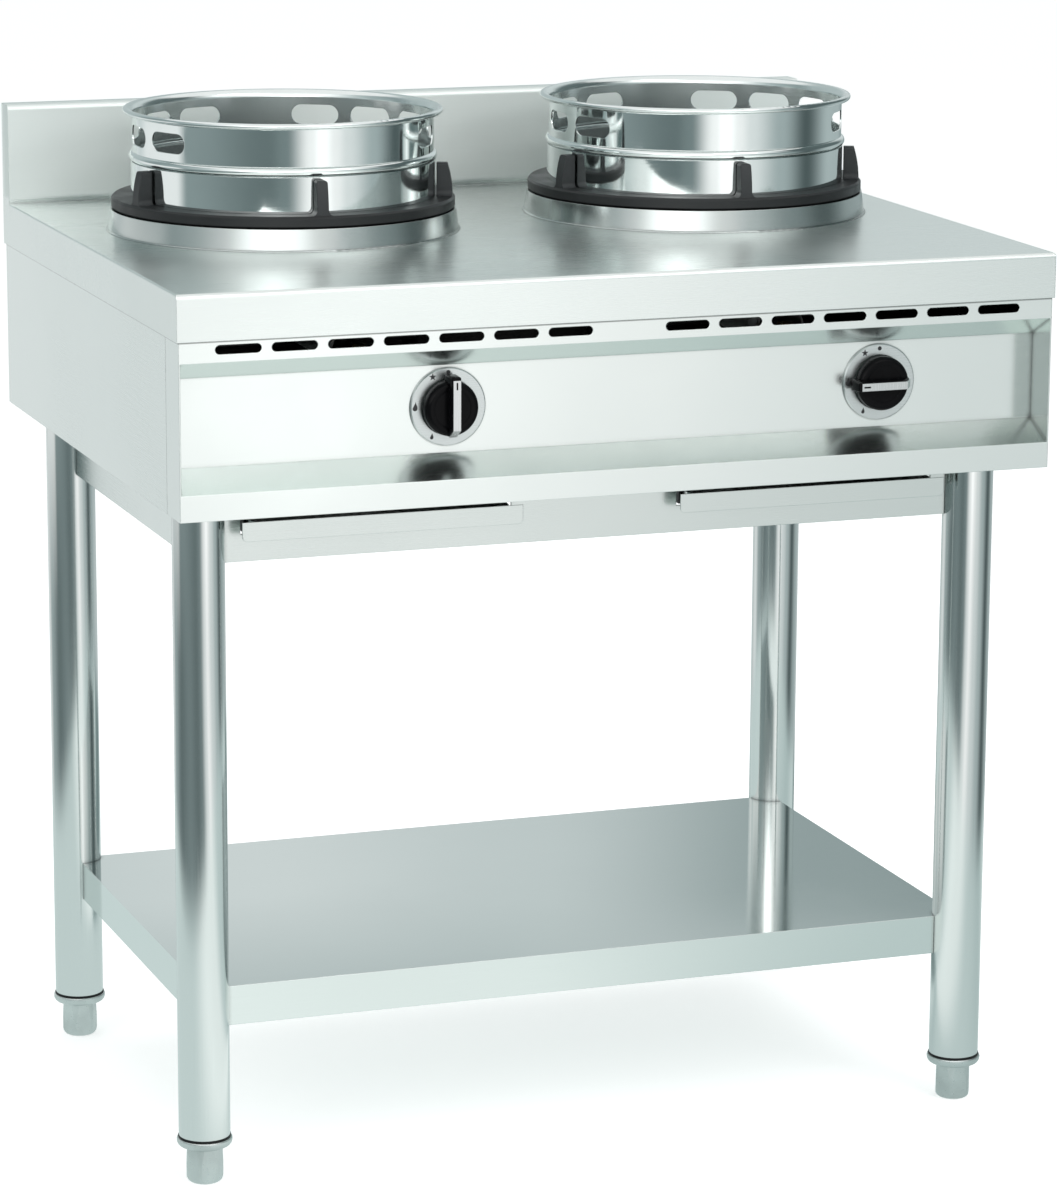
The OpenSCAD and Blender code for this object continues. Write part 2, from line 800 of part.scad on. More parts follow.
// Upper ring in (radius, height): spigot, bead, slotted band and a flared, rolled rim
module ring_section() {
    translate([low_r - 2 * ring_t - snug, band_low - spigot_h]) square([ring_t, spigot_h + ring_t]);
    translate([ring_r - ring_t, high_z - ring_t]) square([ring_t, band_high + ring_t]);
    intersection() {
        translate([ring_r - ring_t, bead_z]) difference() {
            circle(bead_r);
            circle(bead_r - ring_t);
        }
        translate([ring_r - ring_t, bead_z - bead_r]) square(2 * bead_r);
    }
    intersection() {
        translate([ring_r + flare_r, flare_z]) difference() {
            circle(flare_r + ring_t);
            circle(flare_r);
        }
        translate([ring_r - ring_t, flare_z]) square(flare_r + ring_t);
    }
    translate([ring_r + flare_r, flare_z + flare_r + ring_t - rim_r]) circle(rim_r);
}

module wok_ring(side) {
    color("lightgray")
    at_burner(side) translate([0, 0, ring_z]) rotate([0, 0, ring_turn])
    difference() {
        rotate_extrude() ring_section();
        for (side_turn = [-1, 1], i = [1 : ring_slots])
            rotate([0, 0, 90 + side_turn * i * ring_slot_step])
                translate([ring_r, 0, high_z + band_high / 2])
                rotate([90, 0, 90]) linear_extrude(8 * ring_t, center = true)
                slot_shape(ring_slot_l, ring_slot_h);
    }
}

module ring_band(side) {
    color("lightgray")
    at_burner(side) translate([0, 0, ring_z])
    difference() {
        cylinder(h = band_low, r = low_r);
        translate([0, 0, -cut]) cylinder(h = band_low + 2 * cut, r = low_r - ring_t);
    }
}

module burner_head(side) {
    shoulder = head_h - head_cap;
    color("dimgray")
    at_burner(side) translate([0, 0, head_z])
    difference() {
        rotate_extrude()
            polygon([
                [0, 0], [head_foot_r, 0], [head_foot_r, head_lip],
                [head_r - port_inset, head_bowl - port_inset / 2], [head_r, head_bowl], [head_r, shoulder],
                [head_r - head_slope, head_h], [head_r / 3, head_h], [head_r / 4, shoulder], [0, shoulder]
            ]);
        for (i = [0 : port_count - 1])
            rotate([0, 0, i * 360 / port_count])
                translate([head_r - port_inset, 0, shoulder]) cylinder(h = head_h, r = port_r);
        for (i = [0 : port_count / 2 - 1])
            rotate([0, 0, i * 720 / port_count])
                translate([head_r / 2, 0, shoulder]) cylinder(h = head_h, r = port_r);
    }
}

// Mixing tube: mouth, throat and widening run along Y, then a neck up to the burner
module mixer_solid(wall) {
    throat = mixer_l * 0.2;
    spread = mixer_l * 0.55;
    end = mixer_l + mixer_r;
    over = wall > 0 ? cut : 0;
    translate([0, -mixer_l, 0]) rotate([-90, 0, 0])
    rotate_extrude()
        polygon([
            [0, -over], [mouth_r - wall, -over], [mouth_r - wall, mouth_l], [throat_r - wall, throat],
            [mixer_r - wall, spread], [mixer_r - wall, end - wall], [0, end - wall]
        ]);
    cylinder(h = mixer_drop + over, r = mixer_r - wall);
}

module mixing_tube(side) {
    color("darkgray")
    at_burner(side) translate([0, 0, mixer_z])
    difference() {
        union() {
            mixer_solid(0);
            translate([0, 0, mixer_drop - neck_t]) cylinder(h = neck_t, r = head_foot_r);
        }
        mixer_solid(mixer_t);
    }
}

module burner_bracket(side) {
    path = [
        [-bracket_x - bracket_foot, pan_top], [-bracket_x, pan_top], [-bracket_x, bracket_top - bracket_t],
        [bracket_x, bracket_top - bracket_t], [bracket_x, pan_top], [bracket_x + bracket_foot, pan_top]
    ];
    color("silver")
    translate([side * burner_gap / 2, 0, 0])
    along_y(bracket_y - bracket_w / 2, bracket_y + bracket_w / 2) folded(path, bracket_t);
}

module injector(side) {
    color("goldenrod")
    translate([side * burner_gap / 2, injector_y, mixer_z]) {
        difference() {
            rotate([-90, 0, 0]) {
                cylinder(h = injector_l - nose_l, r = injector_r, $fn = 6);
                cylinder(h = injector_l - nose_l / 2, r = injector_r / 2);
            }
            translate([0, injector_r, 0]) rotate([0, 90, 0]) cylinder(h = 2 * injector_r, r = pipe_r + fit);
        }
        translate([0, injector_l - nose_l, 0]) rotate([-90, 0, 0]) cylinder(h = jet_l, r = pipe_r / 2);
    }
}

module burner_pipe(side) {
    run_y = injector_y + injector_r;
    color("peru")
    translate([side * burner_gap / 2, 0, 0])
        pipe([
            [knob_dx, outlet_y - outlet_l + outlet_seat, knob_z], [knob_dx, run_y, knob_z],
            [knob_dx, run_y, mixer_z], [fit, run_y, mixer_z]
        ], pipe_bend, pipe_r, pipe_t);
}

// Pilot: clip on the bracket, clamp with the pipe's seat, hood and flame probe
module pilot(side) {
    clip_x = -clip_w / 2;
    clip_y = clip_w / 2 - clip_t;
    color("silver")
    translate([side * burner_gap / 2 + pilot_x, pilot_y, 0]) {
        translate([clip_x, clip_y, bracket_top]) cube([clip_w, clip_t + clip_foot, clip_t]);
        translate([clip_x, clip_y, bracket_top]) cube([clip_w, clip_t, clamp_z + clamp_h - bracket_top]);
        difference() {
            translate([clip_x, clip_y - clamp_d, clamp_z]) cube([clamp_w, clamp_d, clamp_h]);
            translate([0, 0, clamp_z - cut]) cylinder(h = pilot_seat + cut, r = pilot_r + fit);
        }
        translate([0, 0, clamp_z + clamp_h])
            cylinder(h = head_top - hood_drop - clamp_z - clamp_h, r = hood_r);
        translate([probe_dx, 0, clamp_z - probe_tail])
            cylinder(h = head_top - probe_drop - clamp_z + probe_tail, r = probe_r);
    }
}

module pilot_pipe(side) {
    start_x = knob_dx - valve_r - snug;
    color("peru")
    translate([side * burner_gap / 2, 0, 0])
        pipe_run([
            [start_x, valve_y, knob_z], [pilot_x, valve_y, knob_z],
            [pilot_x, pilot_y, knob_z], [pilot_x, pilot_y, clamp_z + pilot_seat - lift]
        ], 2 * pilot_r, pilot_r, 0);
}

module gas_tap(side) {
    bore_l = outlet_l - outlet_seat;
    color("goldenrod")
    at_knob(side, 0)
    difference() {
        union() {
            translate([0, 0, valve_back]) cylinder(h = valve_front - valve_back, r = valve_r);
            translate([0, 0, valve_back - outlet_l]) cylinder(h = outlet_l + cut, r = pipe_r + outlet_wall);
            translate([-valve_block / 2, -manifold_drop, (valve_front + valve_back - valve_block) / 2])
                cube([valve_block, manifold_drop, valve_block]);
        }
        translate([0, 0, plug_front - plug_l - lift]) cylinder(h = plug_l + 2 * lift, r = plug_r + fit);
        translate([0, 0, plug_front]) cylinder(h = 2 * valve_wall, r = spindle_r + spindle_gap / 2);
        translate([0, 0, valve_back - outlet_l - cut]) cylinder(h = bore_l + cut, r = pipe_r + fit);
        translate([0, -manifold_drop, (valve_front + valve_back) / 2])
            rotate([0, 90, 0]) cylinder(h = 2 * valve_block, r = manifold_r + snug, center = true);
    }
}

module tap_plug(side, turn) {
    color("khaki")
    at_knob(side, turn)
    difference() {
        translate([0, 0, plug_front - plug_l]) cylinder(h = plug_l, r = plug_r);
        translate([0, 0, plug_front - plug_l + plug_floor]) cylinder(h = plug_l, r = spindle_r + fit);
    }
}

module tap_spindle(side, turn) {
    tail = plug_front - spindle_tail;
    color("darkgray")
    at_knob(side, turn)
        translate([0, 0, tail]) cylinder(h = disc_back + disc_h - knob_wall - tail, r = spindle_r);
}

// Grip bar: a tapered section along the pointer, cut to its side view with a sloped tail
module grip_bar() {
    intersection() {
        translate([0, bar_nub, 0]) rotate([90, 0, 0]) linear_extrude(bar_nub + bar_tail)
            polygon([
                [-bar_w / 2, disc_back], [bar_w / 2, disc_back],
                [bar_tip_w / 2, bar_front], [-bar_tip_w / 2, bar_front]
            ]);
        rotate([90, 0, 90]) linear_extrude(2 * bar_w, center = true)
            polygon([
                [bar_nub, disc_back], [bar_nub, bar_front - nub_cut], [bar_nub - nub_cut, bar_front],
                [tail_l - bar_tail, bar_front], [-bar_tail, bar_front - tail_h], [-bar_tail, disc_back]
            ]);
    }
}

module knob(side, turn) {
    color("black")
    at_knob(side, turn)
    difference() {
        union() {
            translate([0, 0, disc_back]) rotate_extrude() {
                square([knob_r - disc_round, disc_h]);
                square([knob_r, disc_h - disc_round]);
                intersection() {
                    translate([knob_r - disc_round, disc_h - disc_round]) circle(disc_round);
                    square(knob_r);
                }
            }
            grip_bar();
        }
        translate([0, 0, disc_back - cut]) cylinder(h = disc_h - knob_wall + cut, r = spindle_r + fit);
    }
}

module knob_strip(side, turn) {
    tip = bar_nub - strip_end;
    path = [[-bar_tail, bar_front - tail_h], [tail_l - bar_tail, bar_front], [tip, bar_front]];
    color("white")
    at_knob(side, turn)
    difference() {
        rotate([90, 0, 90]) linear_extrude(inlay_w, center = true) folded(path, inlay_t);
        translate([-index_w / 2, tip - index_end - index_l, bar_front - cut])
            cube([index_w, index_l, inlay_t + 2 * cut]);
    }
}

module dial_plate(side) {
    bore = spindle_r + spindle_gap;
    step = bezel_t - bezel_cut;
    color("gainsboro")
    at_knob(side, 0)
    rotate_extrude()
        polygon([
            [bore, 0], [bezel_r, 0], [bezel_r, step], [bezel_r - bezel_cut, bezel_t],
            [knob_r, bezel_t], [knob_r - 2 * bezel_cut, step], [bore, step]
        ]);
}

module gas_manifold() {
    color("lightsteelblue")
    pipe([
        [knob_dx - burner_gap / 2 - manifold_over, valve_y, manifold_z], [manifold_x, valve_y, manifold_z],
        [manifold_x, rear_y - panel_t - inlet_step, manifold_z]
    ], manifold_bend, manifold_r, manifold_t);
    color("lightsteelblue")
    translate([knob_dx - burner_gap / 2 - manifold_over, valve_y, manifold_z])
        rotate([0, 90, 0]) cylinder(h = manifold_cap, r = manifold_r);
}

module gas_inlet() {
    inside = -panel_t - inlet_socket;
    color("goldenrod")
    translate([manifold_x, rear_y, manifold_z]) rotate([-90, 0, 0])
    difference() {
        union() {
            translate([0, 0, inside]) cylinder(h = inlet_socket, r = manifold_r + inlet_wall);
            translate([0, 0, inside]) cylinder(h = inlet_hex_l - inside + inlet_l, r = inlet_r);
            cylinder(h = inlet_hex_l, d = inlet_hex / cos(30), $fn = 6);
        }
        translate([0, 0, inside - cut])
            cylinder(h = inlet_socket - inlet_step + cut, r = manifold_r + snug);
        translate([0, 0, inside])
            cylinder(h = inlet_hex_l - inside + inlet_l + cut, r = inlet_r - thread_wall);
    }
}

module drip_tray(side) {
    face_mid = tray_z - tray_face_drop + tray_face_h / 2;
    color("gainsboro")
    translate([side * tray_x, 0, 0]) {
        translate([0, tray_mid, tray_z])
        difference() {
            linear_extrude(tray_h) rounded_rect(tray_w, tray_l, tray_r);
            translate([0, 0, tray_t]) linear_extrude(tray_h)
                rounded_rect(tray_w - 2 * tray_t, tray_l - 2 * tray_t, tray_r - tray_t);
        }
        along_y(tray_y, tray_y + tray_t) translate([0, face_mid]) {
            translate([0, tray_face_r / 2]) square([tray_face_w, tray_face_h - tray_face_r], center = true);
            square([tray_face_w - 2 * tray_face_r, tray_face_h], center = true);
            for (x = [-1, 1])
                translate([x * (tray_face_w / 2 - tray_face_r), tray_face_r - tray_face_h / 2])
                    circle(tray_face_r);
        }
    }
}

module tray_runners() {
    outer = runner_x + runner_t;
    path = [[outer - runner_ledge, runner_z], [outer, runner_z], [outer, pan_z - runner_t],
        [outer + runner_ledge, pan_z - runner_t]];
    color("silver")
    for (side = [left, right], hand = [-1, 1])
        translate([side * tray_x, 0, 0]) scale([hand, 1, 1])
            along_y(runner_y, tray_y + tray_l) folded(path, runner_t);
}

module leg(x_side, y_side) {
    color("silver")
    at_leg(x_side, y_side) translate([0, 0, leg_z])
    difference() {
        cylinder(h = floor_z - leg_z, r = leg_r);
        translate([0, 0, -cut]) cylinder(h = floor_z, r = leg_r - leg_t);
    }
}

module leg_inserts() {
    color("gray")
    for (x = [left, right], y = [-1, 1])
        at_leg(x, y) translate([0, 0, foot_h])
        difference() {
            rotate_extrude()
            difference() {
                union() {
                    square([insert_r, insert_h]);
                    square([leg_r - leg_t - fit, insert_l]);
                }
                translate([insert_r, 0]) scale([-1, 1]) corner_waste(insert_round);
                translate([insert_r, insert_h]) scale([-1, -1]) corner_waste(insert_edge);
            }
            translate([0, 0, -cut]) cylinder(h = insert_l + 2 * cut, r = screw_r + fit);
        }
}

module foot(x_side, y_side) {
    color("gray")
    at_leg(x_side, y_side) {
        intersection() {
            rotate_extrude()
            difference() {
                polygon([
                    [0, 0], [foot_r, 0], [foot_r, barrel_z],
                    [foot_r - barrel_in, foot_h - lift], [0, foot_h - lift]
                ]);
                translate([foot_r, 0]) scale([-1, 1]) corner_waste(sole_round);
            }
            cylinder(h = foot_h, d = foot_flats / cos(30), $fn = 6);
        }
        translate([0, 0, foot_h / 2]) cylinder(h = foot_h / 2 + screw_l, r = screw_r);
    }
}

// Apron along X in (y, z), or along Y in (x, z), with its return turned to the inside
module apron_section(inward) {
    path = [[0, floor_z], [0, apron_z], [inward * apron_return, apron_z]];
    folded(inward > 0 ? path : [path[2], path[1], path[0]], apron_t);
}

module apron_front() {
    open_w = 2 * (runner_x + runner_t + apron_gap);
    color("gainsboro")
    difference() {
        translate([0, -leg_y, 0]) along_x(2 * apron_x) apron_section(1);
        for (side = [left, right])
            translate([side * tray_x - open_w / 2, -leg_y - 2 * apron_t, runner_z - apron_drop])
                cube([open_w, 4 * apron_t, runner_drop + apron_drop + cut]);
    }
}

module apron_rear() {
    color("gainsboro")
    translate([0, leg_y, 0]) along_x(2 * apron_x) apron_section(-1);
}

module apron_side(side) {
    color("gainsboro")
    scale([side, 1, 1]) translate([leg_x, 0, 0]) along_y(-apron_y, apron_y) apron_section(-1);
}

module undershelf() {
    color("gainsboro")
    difference() {
        union() {
            translate([0, 0, shelf_z - shelf_h])
            difference() {
                translate([-leg_x, -leg_y, 0]) cube([2 * leg_x, 2 * leg_y, shelf_h]);
                translate([shelf_t - leg_x, shelf_t - leg_y, -cut])
                    cube([2 * (leg_x - shelf_t), 2 * (leg_y - shelf_t), shelf_h - shelf_t + cut]);
            }
            along_x(2 * (leg_x - shelf_t)) translate([0, shelf_z - shelf_t])
                folded([
                    [-stiff_w / 2, 0], [-stiff_w / 2, -stiff_h], [stiff_w / 2, -stiff_h], [stiff_w / 2, 0]
                ], shelf_t);
        }
        for (x = [left, right], y = [-1, 1])
            at_leg(x, y) translate([0, 0, shelf_z - shelf_h - cut])
                cylinder(h = shelf_h + 2 * cut, r = leg_r + snug);
    }
}

// Screws under the floor flanges beside the legs and along the rear panel
module housing_screws() {
    rear_z = (pan_z + skirt_z) / 2;
    color("gray") {
        for (x = [left, right], y = [-1, 1], s = [-1, 1])
            translate([x * (half_w - screw_edge), y * leg_y + s * screw_spread, floor_z - head_screw_h])
                cylinder(h = head_screw_h, r = head_screw_r, $fn = 6);
        for (x = [left, right], z = [pan_z + rear_screw, rear_z])
            translate([x * (half_w - rear_screw), rear_y, z])
                rotate([-90, 0, 0]) cylinder(h = head_screw_h, r = head_screw_r);
    }
}

worktop();
front_panel();
side_panel(left);  // side_panel_left
side_panel(right);  // side_panel_right
rear_panel();
base_pan();
burner_collar(left);  // burner_collar_left
burner_collar(right);  // burner_collar_right
trivet(left);  // trivet_left
trivet(right);  // trivet_right
wok_ring(left);  // wok_ring_left
wok_ring(right);  // wok_ring_right
ring_band(left);  // ring_band_left
ring_band(right);  // ring_band_right
burner_head(left);  // burner_head_left
burner_head(right);  // burner_head_right
mixing_tube(left);  // mixing_tube_left
mixing_tube(right);  // mixing_tube_right
burner_bracket(left);  // burner_bracket_left
burner_bracket(right);  // burner_bracket_right
injector(left);  // injector_left
injector(right);  // injector_right
burner_pipe(left);  // burner_pipe_left
burner_pipe(right);  // burner_pipe_right
pilot(left);  // pilot_left
pilot(right);  // pilot_right
pilot_pipe(left);  // pilot_pipe_left
pilot_pipe(right);  // pilot_pipe_right
gas_tap(left);  // gas_tap_left
gas_tap(right);  // gas_tap_right
tap_plug(left, turn_left);  // tap_plug_left
tap_plug(right, turn_right);  // tap_plug_right
tap_spindle(left, turn_left);  // tap_spindle_left
tap_spindle(right, turn_right);  // tap_spindle_right
knob(left, turn_left);  // knob_left
knob(right, turn_right);  // knob_right
knob_strip(left, turn_left);  // knob_strip_left
knob_strip(right, turn_right);  // knob_strip_right
dial_plate(left);  // dial_plate_left
dial_plate(right);  // dial_plate_right
gas_manifold();
gas_inlet();
drip_tray(left);  // drip_tray_left
drip_tray(right);  // drip_tray_right
tray_runners();
leg(left, -1);  // leg_front_left
leg(right, -1);  // leg_front_right
leg(left, 1);  // leg_rear_left
leg(right, 1);  // leg_rear_right
leg_inserts();
foot(left, -1);  // foot_front_left
foot(right, -1);  // foot_front_right
foot(left, 1);  // foot_rear_left
foot(right, 1);  // foot_rear_right
apron_front();
apron_rear();
apron_side(left);  // apron_left
apron_side(right);  // apron_right
undershelf();
housing_screws();
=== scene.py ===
"""Wok range with two burners: finishes, knobs, dial marks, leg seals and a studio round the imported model."""

import logging
import math
from dataclasses import dataclass, field
from enum import Enum
from typing import Callable

import bpy
from mathutils import Matrix, Vector


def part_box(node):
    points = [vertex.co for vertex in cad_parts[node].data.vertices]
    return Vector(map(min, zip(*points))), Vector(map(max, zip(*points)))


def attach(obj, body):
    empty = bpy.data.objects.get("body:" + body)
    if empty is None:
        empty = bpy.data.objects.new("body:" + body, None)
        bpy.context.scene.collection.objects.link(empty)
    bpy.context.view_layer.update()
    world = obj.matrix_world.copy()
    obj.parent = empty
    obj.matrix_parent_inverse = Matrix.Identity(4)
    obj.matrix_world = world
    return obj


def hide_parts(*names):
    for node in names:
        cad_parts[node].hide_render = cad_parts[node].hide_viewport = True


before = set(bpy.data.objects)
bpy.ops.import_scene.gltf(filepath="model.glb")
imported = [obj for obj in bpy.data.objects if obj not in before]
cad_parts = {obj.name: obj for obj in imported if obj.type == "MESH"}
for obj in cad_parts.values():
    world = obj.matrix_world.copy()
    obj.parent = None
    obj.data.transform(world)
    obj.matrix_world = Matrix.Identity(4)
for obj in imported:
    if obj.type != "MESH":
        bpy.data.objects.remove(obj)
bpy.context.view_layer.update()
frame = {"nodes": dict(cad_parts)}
LOG = logging.getLogger("wok_range")

Colour = tuple[float, float, float]
Point = tuple[float, float, float]
Span = tuple[float, float]
MM = 0.001
CLOSE = 0.1 * MM
EDGE_ANGLE = 0.5
SMOOTH_ANGLE = math.radians(32)


class Side(Enum):
    """The two burners of the range, as seen from the front."""

    LEFT = "left"
    RIGHT = "right"


class Grain(Enum):
    """Direction of the brush lines of a steel sheet, as the pattern's scale along each axis."""

    ALONG_X = (12.0, 2400.0, 2400.0)
    ALONG_Y = (2400.0, 12.0, 2400.0)
    ALONG_Z = (2400.0, 2400.0, 12.0)


class Graph:
    """A material's or world's node tree with short calls to add and join its nodes."""

    def __init__(self, owner: bpy.types.ID) -> None:
        """Empties the node tree of a material or world.

        Args:
            owner: The material or world to write.
        """
        owner.use_nodes = True
        self.tree = owner.node_tree
        self.tree.nodes.clear()

    def add(self, kind: str, **inputs: object) -> bpy.types.Node:
        """Adds a node and fills its inputs.

        Args:
            kind: The node type's name without its ShaderNode prefix.
            inputs: Input values or output sockets, by input name with _ for a space.

        Returns:
            The new node.
        """
        node = self.tree.nodes.new("ShaderNode" + kind)
        for name, value in inputs.items():
            self.put(node.inputs[name.replace("_", " ")], value)
        return node

    def put(self, socket: bpy.types.NodeSocket, value: object) -> None:
        """Links or sets one input socket.

        Args:
            socket: The input to fill.
            value: An output socket to link, or a value to set.
        """
        if isinstance(value, bpy.types.NodeSocket):
            self.tree.links.new(value, socket)
        else:
            socket.default_value = value

    def maths(self, operation: str, first: object, second: object = 0.0) -> bpy.types.NodeSocket:
        """Adds a Math node.

        Args:
            operation: The node's operation.
            first: First value or socket.
            second: Second value or socket.

        Returns:
            The node's result.
        """
        node = self.add("Math")
        node.operation = operation
        self.put(node.inputs[0], first)
        self.put(node.inputs[1], second)
        return node.outputs[0]

    def product(self, *factors: object) -> bpy.types.NodeSocket:
        """Multiplies values.

        Args:
            factors: The values or sockets, two or more.

        Returns:
            Their product.
        """
        total = factors[0]
        for factor in factors[1:]:
            total = self.maths("MULTIPLY", total, factor)
        return total

    def without(self, share: object) -> bpy.types.NodeSocket:
        """Returns what is left of 1 when a share is taken away."""
        return self.maths("SUBTRACT", 1.0, share)

    def place(self) -> bpy.types.Node:
        """Returns a node that splits the Object coordinates into X, Y and Z."""
        return self.add("SeparateXYZ", Vector=self.add("TexCoord").outputs["Object"])

    def level(self) -> bpy.types.NodeSocket:
        """Returns 1 on the faces that look up and 0 on upright ones."""
        normal = self.add("NewGeometry").outputs["True Normal"]
        return self.spread(self.add("SeparateXYZ", Vector=normal).outputs["Z"], 0.4, 0.8)

    def spread(
        self, value: object, low: float, high: float, out_low: float = 0.0, out_high: float = 1.0
    ) -> bpy.types.NodeSocket:
        """Maps a value from one range to another, clamped.

        Args:
            value: The socket to map.
            low: Start of the range read.
            high: End of the range read.
            out_low: Result at the start.
            out_high: Result at the end.

        Returns:
            The mapped value.
        """
        node = self.add("MapRange")
        for index, item in enumerate((value, low, high, out_low, out_high)):
            self.put(node.inputs[index], item)
        return node.outputs[0]

    def blend(self, share: object, first: object, second: object) -> bpy.types.NodeSocket:
        """Mixes two colours.

        Args:
            share: Share of the second colour.
            first: Colour or socket at share 0.
            second: Colour or socket at share 1.

        Returns:
            The mixed colour.
        """
        node = self.add("Mix")
        node.data_type = "RGBA"
        self.put(node.inputs[0], share)
        for socket, item in ((node.inputs[6], first), (node.inputs[7], second)):
            self.put(socket, (*item, 1.0) if isinstance(item, tuple) else item)
        return node.outputs[2]

    def noise(self, scale: Point, detail: float, rough: float = 0.55) -> bpy.types.NodeSocket:
        """Adds noise on Object coordinates.

        Args:
            scale: Cells per metre along each axis.
            detail: Octaves of the noise.
            rough: Share kept by each finer octave.

        Returns:
            The noise value, about 0.5 on average.
        """
        place = self.add("TexCoord").outputs["Object"]
        mapped = self.add("Mapping", Vector=place, Scale=scale).outputs[0]
        return self.add("TexNoise", Vector=mapped, Scale=1.0, Detail=detail, Roughness=rough).outputs[0]

    def soft_edges(self, radius: float) -> bpy.types.NodeSocket:
        """Rounds the shading of sharp folds.

        Args:
            radius: Radius of the rounded edge in metres.

        Returns:
            The rounded normal.
        """
        node = self.add("Bevel", Radius=radius)
        node.samples = 4
        return node.outputs[0]

    def relief(self, height: object, depth: float, normal: object = None) -> bpy.types.NodeSocket:
        """Turns a height into a bumped normal.

        Args:
            height: The height socket, from 0 to 1.
            depth: Depth of the relief in metres.
            normal: Normal to start from, or None.

        Returns:
            The bumped normal.
        """
        node = self.add("Bump", Height=height, Distance=depth, Strength=1.0)
        if normal is not None:
            self.put(node.inputs["Normal"], normal)
        return node.outputs[0]

    def painted_crease_shade(self, reach: float, dark: float) -> bpy.types.NodeSocket:
        """Finds creases and joints by ambient occlusion, for painted shade there.

        Args:
            reach: How far from a neighbouring surface the painted shade reaches, in metres.
            dark: Share of the light left in the deepest crease.

        Returns:
            A factor from dark to 1.
        """
        # Painted shade: ambient occlusion darkens the colour in creases and joints.
        node = self.add("AmbientOcclusion", Distance=reach)
        node.samples = 6
        return self.spread(node.outputs["AO"], 0.25, 0.8, dark, 1.0)

    def times(self, colour: bpy.types.NodeSocket, factor: bpy.types.NodeSocket) -> bpy.types.NodeSocket:
        """Multiplies a colour by a factor.

        Args:
            colour: The colour socket.
            factor: The factor socket.

        Returns:
            The product.
        """
        node = self.add("VectorMath")
        node.operation = "SCALE"
        self.put(node.inputs[0], colour)
        self.put(node.inputs["Scale"], factor)
        return node.outputs[0]

    def inside_of(self, low: Point, high: Point) -> bpy.types.NodeSocket:
        """Finds the points inside a box.

        Args:
            low: Lowest corner of the box.
            high: Highest corner.

        Returns:
            1 inside the box and 0 outside it.
        """
        place = self.place()
        share = None
        for axis, start, end in zip("XYZ", low, high):
            above = self.maths("GREATER_THAN", place.outputs[axis], start)
            both = self.maths("MULTIPLY", above, self.maths("LESS_THAN", place.outputs[axis], end))
            share = both if share is None else self.maths("MULTIPLY", share, both)
        return share

    def close(self, shader: bpy.types.NodeSocket, kind: str = "OutputMaterial") -> None:
        """Joins a shader to the output.

        Args:
            shader: The surface shader.
            kind: Output node type.
        """
        self.add(kind, Surface=shader)


# Painted shade: points inside this box are darkened to near black so the vent slots read dark.
HOUSING: tuple[Point, Point] = ((-0.4472, -0.3022, 0.6848), (0.4472, 0.3042, 0.8992))
HOUSING_SHADE: Colour = (0.035, 0.034, 0.033)


@dataclass(frozen=True)
class Finish:
    """A surface finish; each kind of finish draws its own node tree."""

    name: str
    colour: Colour

    def material(self) -> bpy.types.Material:
        """Returns the finish's material, made on its first use."""
        found = bpy.data.materials.get(self.name)
        if found is None:
            found = bpy.data.materials.new(self.name)
            self.draw(Graph(found))
        return found

    def draw(self, graph: Graph) -> None:
        """Draws the node tree.

        Args:
            graph: The empty tree to fill.
        """
        raise NotImplementedError

    def shade(self, factor: float) -> Colour:
        """Returns the finish's colour made lighter or darker by a factor."""
        return tuple(min(channel * factor, 1.0) for channel in self.colour)


@dataclass(frozen=True)
class BrushedSteel(Finish):
    """Stainless sheet with brush lines and smudges, with painted shade in its joints and painted shade inside
    the housing.
    """

    grain: Grain = Grain.ALONG_X
    gloss_low: float = 0.22
    gloss_high: float = 0.30
    fold: float = 1.0 * MM
    line_depth: float = 0.002 * MM
    crease_shade_reach: float = 7 * MM
    crease_shade_dark: float = 0.3

    def draw(self, graph: Graph) -> None:
        """Draws lines along the grain over slow smudges, with the sheet's own painted shade and satin.

        Args:
            graph: The empty tree to fill.
        """
        lines = graph.noise(self.grain.value, 5.0, 0.7)
        smudge = graph.noise((3.0, 3.0, 3.0), 4.0)
        tone = graph.blend(graph.spread(lines, 0.3, 0.7), self.shade(0.97), self.shade(1.02))
        worn = graph.blend(graph.spread(smudge, 0.35, 0.7), tone, self.shade(0.97))
        rough = graph.maths(
            "ADD",
            graph.spread(lines, 0.3, 0.7, self.gloss_low, self.gloss_high),
            graph.spread(smudge, 0.4, 0.7, -0.03, 0.04),
        )
        shade_painted = self.paint_shade(graph, worn)
        # Painted shade: creases and joints are darkened by ambient occlusion.
        crease_shaded = graph.times(shade_painted, graph.painted_crease_shade(self.crease_shade_reach, self.crease_shade_dark))
        # Painted shade: every point inside the housing box is blended to near black.
        housing_shaded = graph.blend(graph.inside_of(*HOUSING), crease_shaded, HOUSING_SHADE)
        normal = graph.relief(lines, self.line_depth, graph.soft_edges(self.fold))
        shader = graph.add("BsdfPrincipled", Base_Color=housing_shaded, Metallic=1.0, Normal=normal)
        graph.put(shader.inputs["Roughness"], self.dull(graph, rough))
        graph.close(shader.outputs[0])

    def paint_shade(self, graph: Graph, tone: bpy.types.NodeSocket) -> bpy.types.NodeSocket:
        """Adds the sheet's own painted shade; a plain sheet has none.

        Args:
            graph: The tree to add to.
            tone: The sheet's colour.

        Returns:
            The colour with its painted shade.
        """
        return tone

    def dull(self, graph: Graph, rough: bpy.types.NodeSocket) -> bpy.types.NodeSocket:
        """Adds the sheet's own satin zones; a plain sheet has none.

        Args:
            graph: The tree to add to.
            rough: The sheet's roughness.

        Returns:
            The roughness with its zones.
        """
        return rough


